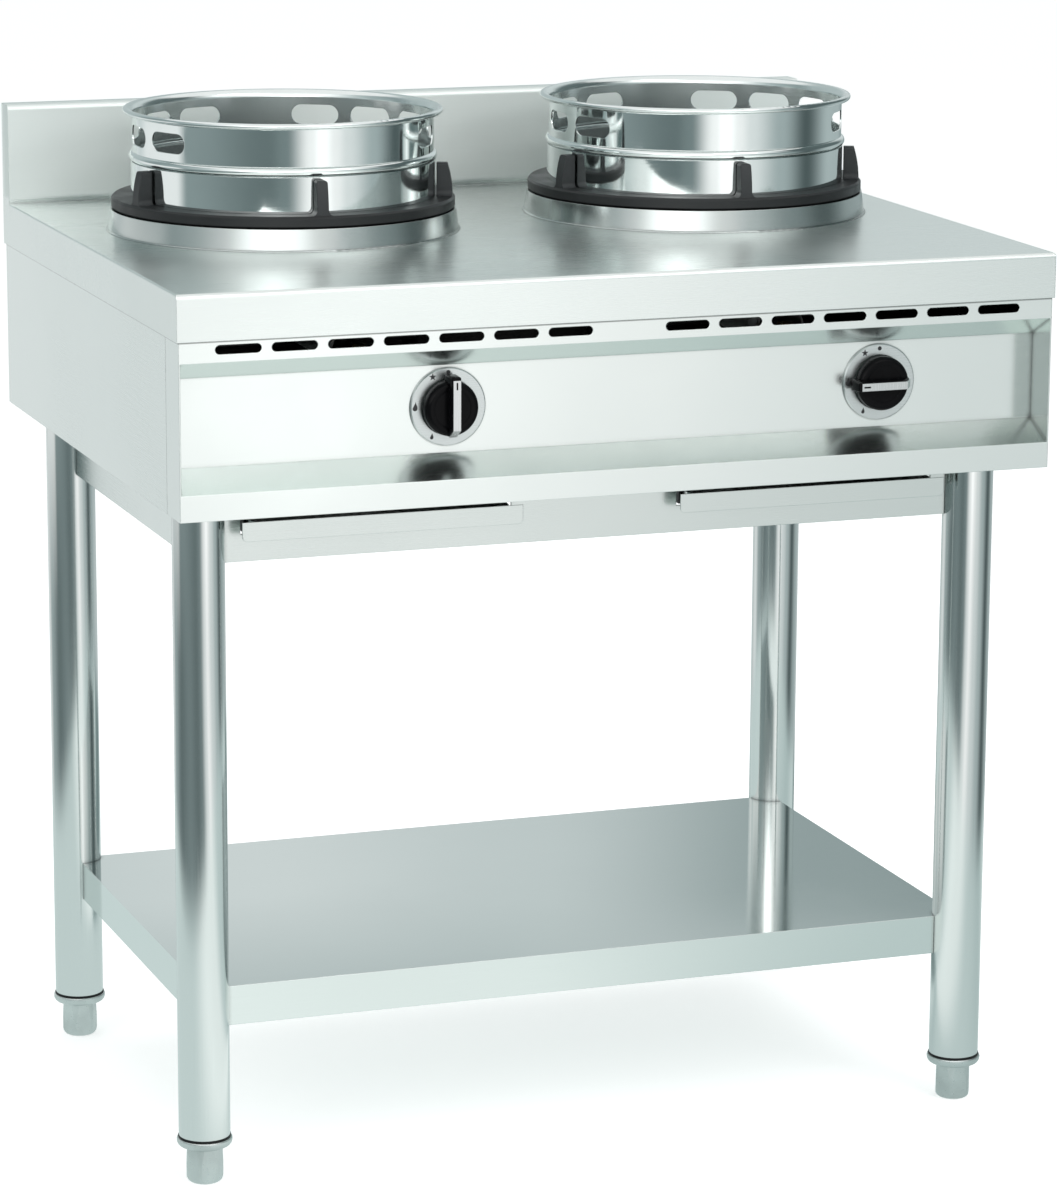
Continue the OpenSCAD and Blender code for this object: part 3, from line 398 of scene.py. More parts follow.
@dataclass(frozen=True)
class SkirtShadowSteel(BrushedSteel):
    """Sheet that runs up behind the worktop's skirt, with a painted shadow line under the skirt's edge."""

    skirt_shadow_z: Span = (853 * MM, 854 * MM)
    skirt_shadow_dark: float = 0.4

    def paint_shade(self, graph: Graph, tone: bpy.types.NodeSocket) -> bpy.types.NodeSocket:
        """Paints a shadow line under the skirt's edge, dark on the sheet behind the skirt.

        Args:
            graph: The tree to add to.
            tone: The sheet's colour.

        Returns:
            The stained colour.
        """
        # Painted shadow: the sheet darkens from just under the skirt's edge upwards.
        return graph.times(tone, graph.spread(graph.place().outputs["Z"], *self.skirt_shadow_z, 1.0, self.skirt_shadow_dark))


@dataclass(frozen=True)
class PanelSteel(SkirtShadowSteel):
    """The front panel's sheet, with painted shade on its ledge, darker towards the right."""

    ledge_shade_x: Span = (-0.42, -0.1)
    ledge_shade: float = 0.3

    def paint_shade(self, graph: Graph, tone: bpy.types.NodeSocket) -> bpy.types.NodeSocket:
        """Paints shade on the ledge, darker towards the right, and the shadow line under the skirt.

        Args:
            graph: The tree to add to.
            tone: The sheet's colour.

        Returns:
            The colour with its painted shade.
        """
        # Painted shade: upward faces of the panel darken towards the right.
        across = graph.spread(graph.place().outputs["X"], *self.ledge_shade_x, 0.0, self.ledge_shade)
        ledge_shaded = graph.times(tone, graph.without(graph.product(across, graph.level())))
        return super().paint_shade(graph, ledge_shaded)


@dataclass(frozen=True)
class WorktopSteel(BrushedSteel):
    """The worktop's sheet: satin on the front of its upstand, with painted shade on the flat between the
    burners.
    """

    raised_z: Span = (904 * MM, 908 * MM)
    satin_y: Span = (335 * MM, 340 * MM)
    satin: float = 0.25
    flat_shade: float = 0.5
    flat_shade_x: Span = (0.03, 0.26)
    flat_shade_y: Span = (-0.2, 0.28)

    def paint_shade(self, graph: Graph, tone: bpy.types.NodeSocket) -> bpy.types.NodeSocket:
        """Paints shade and the upstand's dark reflection on the flat of the worktop between the burners,
        darker towards the back.

        Args:
            graph: The tree to add to.
            tone: The sheet's colour.

        Returns:
            The colour with its painted shade.
        """
        # Painted shade and painted reflection: the flat darkens between the burners and towards the upstand.
        place = graph.place()
        between = graph.spread(graph.maths("ABSOLUTE", place.outputs["X"]), *self.flat_shade_x, self.flat_shade, 0.0)
        behind = graph.spread(place.outputs["Y"], *self.flat_shade_y)
        low = graph.without(graph.spread(place.outputs["Z"], *self.raised_z))
        return graph.times(tone, graph.without(graph.product(between, behind, graph.level(), low)))

    def dull(self, graph: Graph, rough: bpy.types.NodeSocket) -> bpy.types.NodeSocket:
        """Gives the front of the upstand its satin.

        Args:
            graph: The tree to add to.
            rough: The sheet's roughness.

        Returns:
            The roughness with its satin zone.
        """
        place = graph.place()
        raised = graph.spread(place.outputs["Z"], *self.raised_z)
        front = graph.spread(place.outputs["Y"], *self.satin_y, self.satin, 0.0)
        return graph.maths("ADD", rough, graph.product(raised, front))


@dataclass(frozen=True)
class PolishedSteel(Finish):
    """Bright polished sheet with faint spinning lines and fingermarks."""

    gloss: float = 0.035
    fold: float = 0.6 * MM
    axis_x: float = 225 * MM
    axis_y: float = 60 * MM
    satin: float = 0.15

    def draw(self, graph: Graph) -> None:
        """Draws near-mirror metal with slow changes of gloss.

        Args:
            graph: The empty tree to fill.
        """
        marks = graph.noise((14.0, 14.0, 14.0), 5.0)
        lines = graph.noise((6.0, 6.0, 900.0), 3.0)
        tone = graph.blend(graph.spread(marks, 0.35, 0.7), self.colour, self.shade(0.94))
        rough = graph.maths(
            "ADD",
            graph.spread(marks, 0.4, 0.75, self.gloss, self.gloss + 0.04),
            graph.spread(lines, 0.3, 0.7, 0.0, 0.02),
        )
        rough = graph.maths("ADD", rough, graph.maths("MULTIPLY", self.inner(graph), self.satin))
        normal = graph.relief(lines, 0.004 * MM, graph.soft_edges(self.fold))
        shader = graph.add("BsdfPrincipled", Base_Color=tone, Metallic=1.0, Roughness=rough, Normal=normal)
        graph.close(shader.outputs[0])

    def inner(self, graph: Graph) -> bpy.types.NodeSocket:
        """Finds the faces that look towards the axis of their own ring.

        Args:
            graph: The tree to add to.

        Returns:
            1 on the inner faces and 0 on the others.
        """
        shape = graph.add("NewGeometry")
        place = graph.place()
        side = graph.maths("MULTIPLY", graph.maths("SIGN", place.outputs["X"]), self.axis_x)
        away = graph.add("CombineXYZ", X=graph.maths("SUBTRACT", place.outputs["X"], side))
        graph.put(away.inputs["Y"], graph.maths("SUBTRACT", place.outputs["Y"], self.axis_y))
        turned = graph.add("VectorMath")
        turned.operation = "DOT_PRODUCT"
        graph.put(turned.inputs[0], away.outputs[0])
        graph.put(turned.inputs[1], shape.outputs["True Normal"])
        return graph.maths("LESS_THAN", turned.outputs["Value"], -0.05)


@dataclass(frozen=True)
class CastIron(Finish):
    """Matt black casting with a sandy skin, rubbed edges and painted shade in its creases."""

    rubbed: Colour = (0.16, 0.16, 0.165)
    shine: float = 0.3

    def draw(self, graph: Graph) -> None:
        """Draws a grainy skin that is lighter where it is rubbed, with painted shade in its creases.

        Args:
            graph: The empty tree to fill.
        """
        sand = graph.noise((900.0, 900.0, 900.0), 3.0, 0.6)
        patch = graph.noise((35.0, 35.0, 35.0), 4.0)
        edge = graph.add("NewGeometry").outputs["Pointiness"]
        worn = graph.spread(edge, 0.52, 0.62, 0.0, 0.5)
        skin = graph.blend(graph.spread(patch, 0.3, 0.7), self.shade(0.7), self.shade(1.5))
        # Painted shade: ambient occlusion darkens the casting's creases.
        tone = graph.times(graph.blend(worn, skin, self.rubbed), graph.painted_crease_shade(10 * MM, 0.25))
        rough = graph.spread(patch, 0.3, 0.7, 0.34, 0.5)
        normal = graph.relief(sand, 0.08 * MM, graph.soft_edges(1.5 * MM))
        shader = graph.add("BsdfPrincipled", Base_Color=tone, Roughness=rough, Normal=normal)
        graph.put(shader.inputs["Specular IOR Level"], self.shine)
        graph.close(shader.outputs[0])


@dataclass(frozen=True)
class TurnedMetal(Finish):
    """Machined or cast small metal parts with a fine even texture."""

    gloss: float = 0.3
    cells: float = 400.0
    pits: float = 0.02 * MM

    def draw(self, graph: Graph) -> None:
        """Draws metal with a fine mottled gloss.

        Args:
            graph: The empty tree to fill.
        """
        fine = graph.noise((self.cells,) * 3, 4.0)
        patch = graph.noise((25.0, 25.0, 25.0), 4.0)
        tone = graph.blend(graph.spread(patch, 0.3, 0.7), self.shade(0.85), self.shade(1.08))
        rough = graph.spread(fine, 0.3, 0.7, self.gloss - 0.06, self.gloss + 0.1)
        normal = graph.relief(fine, self.pits, graph.soft_edges(0.8 * MM))
        shader = graph.add("BsdfPrincipled", Base_Color=tone, Metallic=1.0, Roughness=rough, Normal=normal)
        graph.close(shader.outputs[0])


@dataclass(frozen=True)
class Moulding(Finish):
    """Glossy moulded plastic with faint handling marks."""

    gloss: float = 0.14
    shine: float = 0.22

    def draw(self, graph: Graph) -> None:
        """Draws dark plastic with a soft gloss.

        Args:
            graph: The empty tree to fill.
        """
        marks = graph.noise((120.0, 120.0, 120.0), 4.0)
        tone = graph.blend(graph.spread(marks, 0.3, 0.7), self.colour, self.shade(1.6))
        rough = graph.spread(marks, 0.3, 0.75, self.gloss, self.gloss + 0.12)
        normal = graph.relief(marks, 0.01 * MM)
        shader = graph.add("BsdfPrincipled", Base_Color=tone, Roughness=rough, Normal=normal)
        graph.put(shader.inputs["Specular IOR Level"], self.shine)
        graph.close(shader.outputs[0])


@dataclass(frozen=True)
class Ink(Finish):
    """Dark printed marks with a slightly uneven edge of gloss."""

    def draw(self, graph: Graph) -> None:
        """Draws printed ink.

        Args:
            graph: The empty tree to fill.
        """
        speck = graph.noise((2000.0, 2000.0, 2000.0), 2.0)
        tone = graph.blend(graph.spread(speck, 0.4, 0.7), self.colour, self.shade(1.8))
        rough = graph.spread(speck, 0.3, 0.7, 0.4, 0.55)
        shader = graph.add("BsdfPrincipled", Base_Color=tone, Roughness=rough)
        graph.close(shader.outputs[0])


STEEL: Colour = (0.79, 0.835, 0.815)
SHEET_X = BrushedSteel("brushed sheet along the front", STEEL)
FRONT = PanelSteel("brushed front panel", STEEL, Grain.ALONG_X, 0.18, 0.25)
SHEET_Y = SkirtShadowSteel("brushed sheet along the side", STEEL, Grain.ALONG_Y)
# Painted shade: a darker copy of the steel for the apron and drip trays under the worktop.
SHEET_SHADED = BrushedSteel("brushed apron sheet", (0.69, 0.735, 0.715))
WORKTOP = WorktopSteel("brushed worktop", STEEL, Grain.ALONG_X, 0.25, 0.34)
TUBE = BrushedSteel("polished tube", (0.77, 0.80, 0.79), Grain.ALONG_Z, 0.10, 0.17)
SHELF = BrushedSteel("bright shelf sheet", (0.78, 0.82, 0.805), Grain.ALONG_X, 0.05, 0.10)
COLLAR = BrushedSteel("brushed collar", (0.55, 0.59, 0.58), Grain.ALONG_X, 0.17, 0.24, 0.8 * MM)
RING = PolishedSteel("polished ring", (0.80, 0.85, 0.84))
IRON = CastIron("black casting", (0.0062, 0.0072, 0.0077), (0.05, 0.055, 0.058), 0.3)
BURNER_IRON = CastIron("burner casting", (0.035, 0.033, 0.032), (0.16, 0.15, 0.14))
CAST_ALUMINIUM = TurnedMetal("cast aluminium", (0.62, 0.63, 0.63), 0.48, 260.0)
BRASS = TurnedMetal("machined brass", (0.72, 0.52, 0.22), 0.26)
COPPER = TurnedMetal("copper pipe", (0.78, 0.43, 0.28), 0.28)
# Near-black steel; on the tray runners it is painted shade.
DARK_STEEL = TurnedMetal("dark steel", (0.05, 0.05, 0.052), 0.5)
PLATED = TurnedMetal("zinc plate", (0.52, 0.54, 0.55), 0.36)
DIAL = BrushedSteel("satin dial plate", (0.60, 0.64, 0.635), Grain.ALONG_X, 0.24, 0.34, 0.4 * MM)
STRIP = BrushedSteel("satin knob strip", (0.62, 0.64, 0.64), Grain.ALONG_Z, 0.2, 0.3, 0.3 * MM)
FOOT = TurnedMetal("satin foot", (0.64, 0.68, 0.67), 0.32, 500.0, 0.003 * MM)
KNOB_BLACK = Moulding("black knob moulding", (0.003, 0.003, 0.0035), 0.14, 0.07)
DIAL_INK = Ink("dial ink", (0.02, 0.02, 0.022))
SEAL = Moulding("black seal", (0.006, 0.0065, 0.007), 0.4)

NODE_FINISHES: dict[str, Finish] = {
    "worktop": WORKTOP,
    "front_panel": FRONT,
    "side_panel": SHEET_Y,
    "rear_panel": SHEET_X,
    "base_pan": SHEET_X,
    "burner_collar": COLLAR,
    "trivet": IRON,
    "wok_ring": RING,
    "ring_band": RING,
    "burner_head": BURNER_IRON,
    "mixing_tube": CAST_ALUMINIUM,
    "burner_bracket": DARK_STEEL,
    "injector": BRASS,
    "burner_pipe": COPPER,
    "pilot_pipe": COPPER,
    "pilot": PLATED,
    "gas_tap": BRASS,
    "tap_plug": BRASS,
    "tap_spindle": PLATED,
    "knob_strip": STRIP,
    "knob": KNOB_BLACK,
    "dial_plate": DIAL,
    "gas_manifold": PLATED,
    "gas_inlet": BRASS,
    "drip_tray": SHEET_SHADED,
    # Painted shade: the runners get near-black steel for the shade behind the apron's cut-outs.
    "tray_runners": DARK_STEEL,
    "leg_inserts": FOOT,
    "leg": TUBE,
    "foot": FOOT,
    "apron_left": SHEET_Y,
    "apron_right": SHEET_Y,
    "apron": SHEET_SHADED,
    "undershelf": SHELF,
    "housing_screws": PLATED,
}


def finish_of(node: str) -> Finish:
    """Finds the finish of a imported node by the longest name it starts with.

    Args:
        node: The node's name.

    Returns:
        The node's finish.
    """
    match = max((key for key in NODE_FINISHES if node.startswith(key)), key=len)
    return NODE_FINISHES[match]


def deselect_all() -> None:
    """Leaves edit mode and deselects every object."""
    if bpy.context.object is not None and bpy.context.object.mode != "OBJECT":
        bpy.ops.object.mode_set(mode="OBJECT")
    bpy.ops.object.select_all(action="DESELECT")


def pick(obj: bpy.types.Object, part: str, test: Callable[[object], bool]) -> None:
    """Selects some faces, edges or vertices of an object and leaves it in edit mode.

    Args:
        obj: The object to edit.
        part: "FACE", "EDGE" or "VERT".
        test: Says which mesh elements to select.
    """
    bpy.context.view_layer.objects.active = obj
    bpy.ops.object.mode_set(mode="EDIT")
    bpy.ops.mesh.select_mode(type=part)
    bpy.ops.mesh.select_all(action="DESELECT")
    bpy.ops.object.mode_set(mode="OBJECT")
    mesh = obj.data
    elements = {"FACE": mesh.polygons, "EDGE": mesh.edges, "VERT": mesh.vertices}[part]
    for element in elements:
        element.select = test(element)
    bpy.ops.object.mode_set(mode="EDIT")


def edge_ends(obj: bpy.types.Object, edge: bpy.types.MeshEdge) -> tuple[Vector, Vector]:
    """Returns the two end points of an edge."""
    first, second = edge.vertices
    return obj.data.vertices[first].co, obj.data.vertices[second].co


def apply_modifier(obj: bpy.types.Object, kind: str, **settings: object) -> None:
    """Adds a modifier and applies it.

    Args:
        obj: The object to change.
        kind: Modifier type.
        settings: Values to set on the modifier.
    """
    deselect_all()
    bpy.context.view_layer.objects.active = obj
    obj.select_set(True)
    modifier = obj.modifiers.new(kind.lower(), kind)
    for name, value in settings.items():
        setattr(modifier, name, value)
    bpy.ops.object.modifier_apply(modifier=modifier.name)


def copy_of(obj: bpy.types.Object) -> bpy.types.Object:
    """Returns a copy of an object with a mesh of its own."""
    copy = obj.copy()
    copy.data = obj.data.copy()
    bpy.context.scene.collection.objects.link(copy)
    return copy


def settle(obj: bpy.types.Object, name: str, place: Matrix, body: str, finish: Finish) -> None:
    """Moves a finished mesh to its place, names it and joins it to a body.

    Args:
        obj: The modelled object.
        name: The piece's name.
        place: Where its mesh goes in the range's frame.
        body: The body it rides on.
        finish: Its finish.
    """
    deselect_all()
    obj.data.transform(obj.matrix_world)
    obj.matrix_world = Matrix.Identity(4)
    obj.data.transform(place)
    obj.name = name
    obj.data.name = name
    bpy.context.view_layer.objects.active = obj
    obj.select_set(True)
    bpy.ops.object.shade_smooth_by_angle(angle=SMOOTH_ANGLE)
    obj.data.materials.clear()
    obj.data.materials.append(finish.material())
    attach(obj, body)
    LOG.info("%s rides on %s", name, body)


@dataclass
class Knobs:
    """The push-and-turn knobs, one shape copied: a domed disc with a dished face and a tapered grip bar."""

    turns: tuple[tuple[Side, float], ...] = ((Side.LEFT, 0.0), (Side.RIGHT, 90.0))
    disc_r: float = 27 * MM
    disc_h: float = 10 * MM
    edge_round: float = 6 * MM
    dish_inset: float = 4 * MM
    dish_depth: float = 1.2 * MM
    bar_w: float = 12 * MM
    tip_w: float = 9 * MM
    bar_round: float = 1.4 * MM
    nub_l: float = 5.5 * MM
    tail_inset: float = 0.5 * MM
    tail_l: float = 8 * MM
    tail_h: float = 12 * MM

    def place(self, side: Side, turn: float) -> Matrix:
        """Finds a knob's frame: x right, y to the pointer, z out of the panel.

        Args:
            side: Which burner's knob it is.
            turn: Degrees that its pointer stands from off, anticlockwise.

        Returns:
            The frame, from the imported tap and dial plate.
        """
        low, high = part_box(f"tap_spindle_{side.value}")
        centre = (low + high) / 2
        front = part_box(f"dial_plate_{side.value}")[1].y
        turned = Matrix.Rotation(math.radians(90), 4, "X") @ Matrix.Rotation(math.radians(turn), 4, "Z")
        return Matrix.Translation((centre.x, front, centre.z)) @ turned

    def depths(self) -> tuple[float, float]:
        """Returns the heights of the disc's back and of the bar's front above the panel."""
        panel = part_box("dial_plate_left")[1].y
        low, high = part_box("knob_left")
        return panel - high.y, panel - low.y

    def disc(self, back: float) -> bpy.types.Object:
        """Models the disc.

        Args:
            back: Height of its back above the panel.

        Returns:
            The disc.
        """
        deselect_all()
        bpy.ops.mesh.primitive_cylinder_add(
            vertices=96, radius=self.disc_r, depth=self.disc_h, location=(0, 0, back + self.disc_h / 2)
        )
        disc = bpy.context.object
        bpy.ops.object.transform_apply(location=True)
        front = back + self.disc_h - CLOSE
        pick(disc, "EDGE", lambda edge: all(end.z > front for end in edge_ends(disc, edge)))
        bpy.ops.mesh.bevel(offset=self.edge_round, segments=8, profile=0.5, affect="EDGES")
        flat = self.disc_r - self.edge_round
        pick(disc, "FACE", lambda face: face.center.z > front and face.normal.z > 0.99)
        bpy.ops.mesh.inset(thickness=min(self.dish_inset, flat / 2), depth=-self.dish_depth)
        bpy.ops.object.mode_set(mode="OBJECT")
        return disc

    def bar(self, back: float, front: float) -> bpy.types.Object:
        """Models the grip bar.

        Args:
            back: Height of its back above the panel.
            front: Height of its front above the panel.

        Returns:
            The bar.
        """
        nub = self.disc_r + self.nub_l
        tail = self.disc_r - self.tail_inset
        deselect_all()
        bpy.ops.mesh.primitive_cube_add(size=1, location=(0, (nub - tail) / 2, (back + front) / 2))
        bar = bpy.context.object
        bar.scale = (self.bar_w, nub + tail, front - back)
        bpy.ops.object.transform_apply(location=True, scale=True)
        pick(bar, "FACE", lambda face: face.normal.z > 0.9)
        bpy.ops.transform.resize(value=(self.tip_w / self.bar_w, 1, 1), center_override=(0, 0, front))
        bpy.ops.mesh.select_all(action="SELECT")
        bpy.ops.mesh.bisect(plane_co=(0, 0, front - self.tail_h), plane_no=(0, 0, 1))
        pick(bar, "VERT", lambda vert: vert.co.y < 0 and vert.co.z > front - CLOSE)
        bpy.ops.transform.translate(value=(0, self.tail_l, 0))
        bpy.ops.object.mode_set(mode="OBJECT")
        apply_modifier(
            bar, "BEVEL", width=self.bar_round, segments=4, limit_method="ANGLE", angle_limit=EDGE_ANGLE
        )
        return bar

    def moulding(self) -> bpy.types.Object:
        """Models one knob round its axis: the disc with the bar joined to it.

        Returns:
            The knob.
        """
        back, front = self.depths()
        knob = self.disc(back)
        grip = self.bar(back, front)
        apply_modifier(knob, "BOOLEAN", operation="UNION", object=grip, solver="EXACT")
        bpy.data.objects.remove(grip)
        return knob

    def build(self) -> None:
        """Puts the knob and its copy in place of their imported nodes."""
        first = self.moulding()
        for knob, (side, turn) in zip((first, copy_of(first)), self.turns):
            name = f"knob_{side.value}"
            body = f"knob_set_{side.value}"
            settle(knob, f"moulded_{name}", self.place(side, turn), body, KNOB_BLACK)
            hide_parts(name)


class Mark(Enum):
    """The printed marks of a dial, each at its angle from the top, anticlockwise."""

    OFF = 0.0
    SPARK = 28.0
    LARGE_FLAME = 90.0
    SMALL_FLAME = 150.0


@dataclass
class Dials:
    """The printed marks on the dial plates, each modelled once: a dot for off, a spark and two flames."""

    radius: float = 33.6 * MM
    dot_r: float = 2.1 * MM
    spark_r: float = 3.9 * MM
    flame_r: float = 2.5 * MM
    small_share: float = 0.7
    spark_waist: float = 0.4
    flame_steps: tuple[Point, ...] = (
        (0.1, 0.92, 0.18),
        (0.5, 0.72, 0.30),
        (0.8, 0.50, 0.42),
        (0.95, 0.60, 0.54),
    )
    flame_lean: float = 0.12
    print_t: float = 0.12 * MM
    sunk: float = 0.02 * MM

    def shape(self, mark: Mark) -> bpy.types.Object:
        """Models one flat mark round the origin.

        Args:
            mark: Which mark to draw.

        Returns:
            The mark's object.
        """
        deselect_all()
        radius = {Mark.OFF: self.dot_r, Mark.SPARK: self.spark_r}.get(mark, self.flame_r)
        if mark is Mark.SMALL_FLAME:
            radius *= self.small_share
        corners = 10 if mark is Mark.SPARK else 24
        bpy.ops.mesh.primitive_circle_add(vertices=corners, radius=radius, fill_type="NGON")
        piece = bpy.context.object
        if mark is Mark.SPARK:
            pick(piece, "VERT", lambda vert: vert.index % 2 != 0)
            waist = self.spark_waist
            bpy.ops.transform.resize(value=(waist, waist, 1), center_override=(0, 0, 0))
        if mark in (Mark.LARGE_FLAME, Mark.SMALL_FLAME):
            self.draw_up(piece, radius)
        pick(piece, "FACE", lambda face: True)
        bpy.ops.mesh.extrude_region_move(TRANSFORM_OT_translate={"value": (0, 0, self.print_t)})
        bpy.ops.mesh.select_all(action="SELECT")
        bpy.ops.mesh.normals_make_consistent(inside=False)
        bpy.ops.object.mode_set(mode="OBJECT")
        return piece

    def draw_up(self, piece: bpy.types.Object, radius: float) -> None:
        """Pulls the top of a disc up into a flame's tip.

        Args:
            piece: The disc to change.
            radius: Its radius.
        """
        for level, narrow, lift in self.flame_steps:
            limit = level * radius
            pick(piece, "VERT", lambda vert: vert.co.y > limit)
            bpy.ops.transform.resize(value=(narrow, 1, 1), center_override=(0, 0, 0))
            bpy.ops.transform.translate(value=(self.flame_lean * radius, lift * radius, 0))

    def place(self, mark: Mark, side: Side) -> Matrix:
        """Finds a mark's frame on its dial plate.

        Args:
            mark: Which mark it is.
            side: Which burner's dial it is on.

        Returns:
            The frame, with z out of the plate.
        """
        low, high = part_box(f"dial_plate_{side.value}")
        centre = (low + high) / 2
        angle = math.radians(mark.value)
        return (
            Matrix.Translation((centre.x, low.y + self.sunk, centre.z))
            @ Matrix.Rotation(math.radians(90), 4, "X")
            @ Matrix.Translation((-math.sin(angle) * self.radius, math.cos(angle) * self.radius, 0))
        )

    def build(self) -> None:
        """Prints every mark on both dial plates."""
        for mark in Mark:
            first = self.shape(mark)
            for piece, side in zip((first, copy_of(first)), Side):
                name = f"dial_{mark.name.lower()}_{side.value}"
                settle(piece, name, self.place(mark, side), "range", DIAL_INK)


@dataclass
class LegSeals:
    """The black sealing rings between the legs and the flanges of their end pieces."""

    legs: tuple[str, ...] = ("front_left", "front_right", "rear_left", "rear_right")
    height: float = 2.2 * MM
    proud: float = 0.7 * MM
    wall: float = 1.4 * MM
    edge: float = 0.4 * MM

    def ring(self, radius: float) -> bpy.types.Object:
        """Models one ring round the origin, standing on its lower face.

        Args:
            radius: Outer radius of the ring.

        Returns:
            The ring.
        """
        deselect_all()
        bpy.ops.mesh.primitive_cylinder_add(
            vertices=72, radius=radius, depth=self.height, location=(0, 0, self.height / 2)
        )
        ring = bpy.context.object
        bpy.ops.object.transform_apply(location=True)
        pick(ring, "FACE", lambda face: abs(face.normal.z) > 0.9)
        bpy.ops.mesh.inset(thickness=self.wall)
        bpy.ops.mesh.delete(type="FACE")
        inner = radius - self.wall / 2
        pick(ring, "EDGE", lambda edge: all(end.xy.length < inner for end in edge_ends(ring, edge)))
        bpy.ops.mesh.bridge_edge_loops()
        bpy.ops.mesh.select_all(action="SELECT")
        bpy.ops.mesh.normals_make_consistent(inside=False)
        bpy.ops.object.mode_set(mode="OBJECT")
        apply_modifier(
            ring, "BEVEL", width=self.edge, segments=3, limit_method="ANGLE", angle_limit=EDGE_ANGLE
        )
        return ring

    def build(self) -> None:
        """Puts a copy of the ring at the end of each leg."""
        low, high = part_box(f"leg_{self.legs[0]}")
        first = self.ring((high.x - low.x) / 2 + self.proud)
        rings = [first] + [copy_of(first) for _ in self.legs[1:]]
        for leg, ring in zip(self.legs, rings):
            low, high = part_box(f"leg_{leg}")
            place = Matrix.Translation(((low.x + high.x) / 2, (low.y + high.y) / 2, low.z))
            settle(ring, f"leg_seal_{leg}", place, "range", SEAL)


@dataclass
class Finishes:
    """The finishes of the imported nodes."""

    nodes: dict[str, bpy.types.Object] = field(default_factory=dict)

    def dress(self) -> None:
        """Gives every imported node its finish."""
        for name, obj in self.nodes.items():
            finish = finish_of(name)
            obj.data.materials.clear()
            obj.data.materials.append(finish.material())
            LOG.info("%s: %s", name, finish.name)


Tones = tuple[Span, ...]


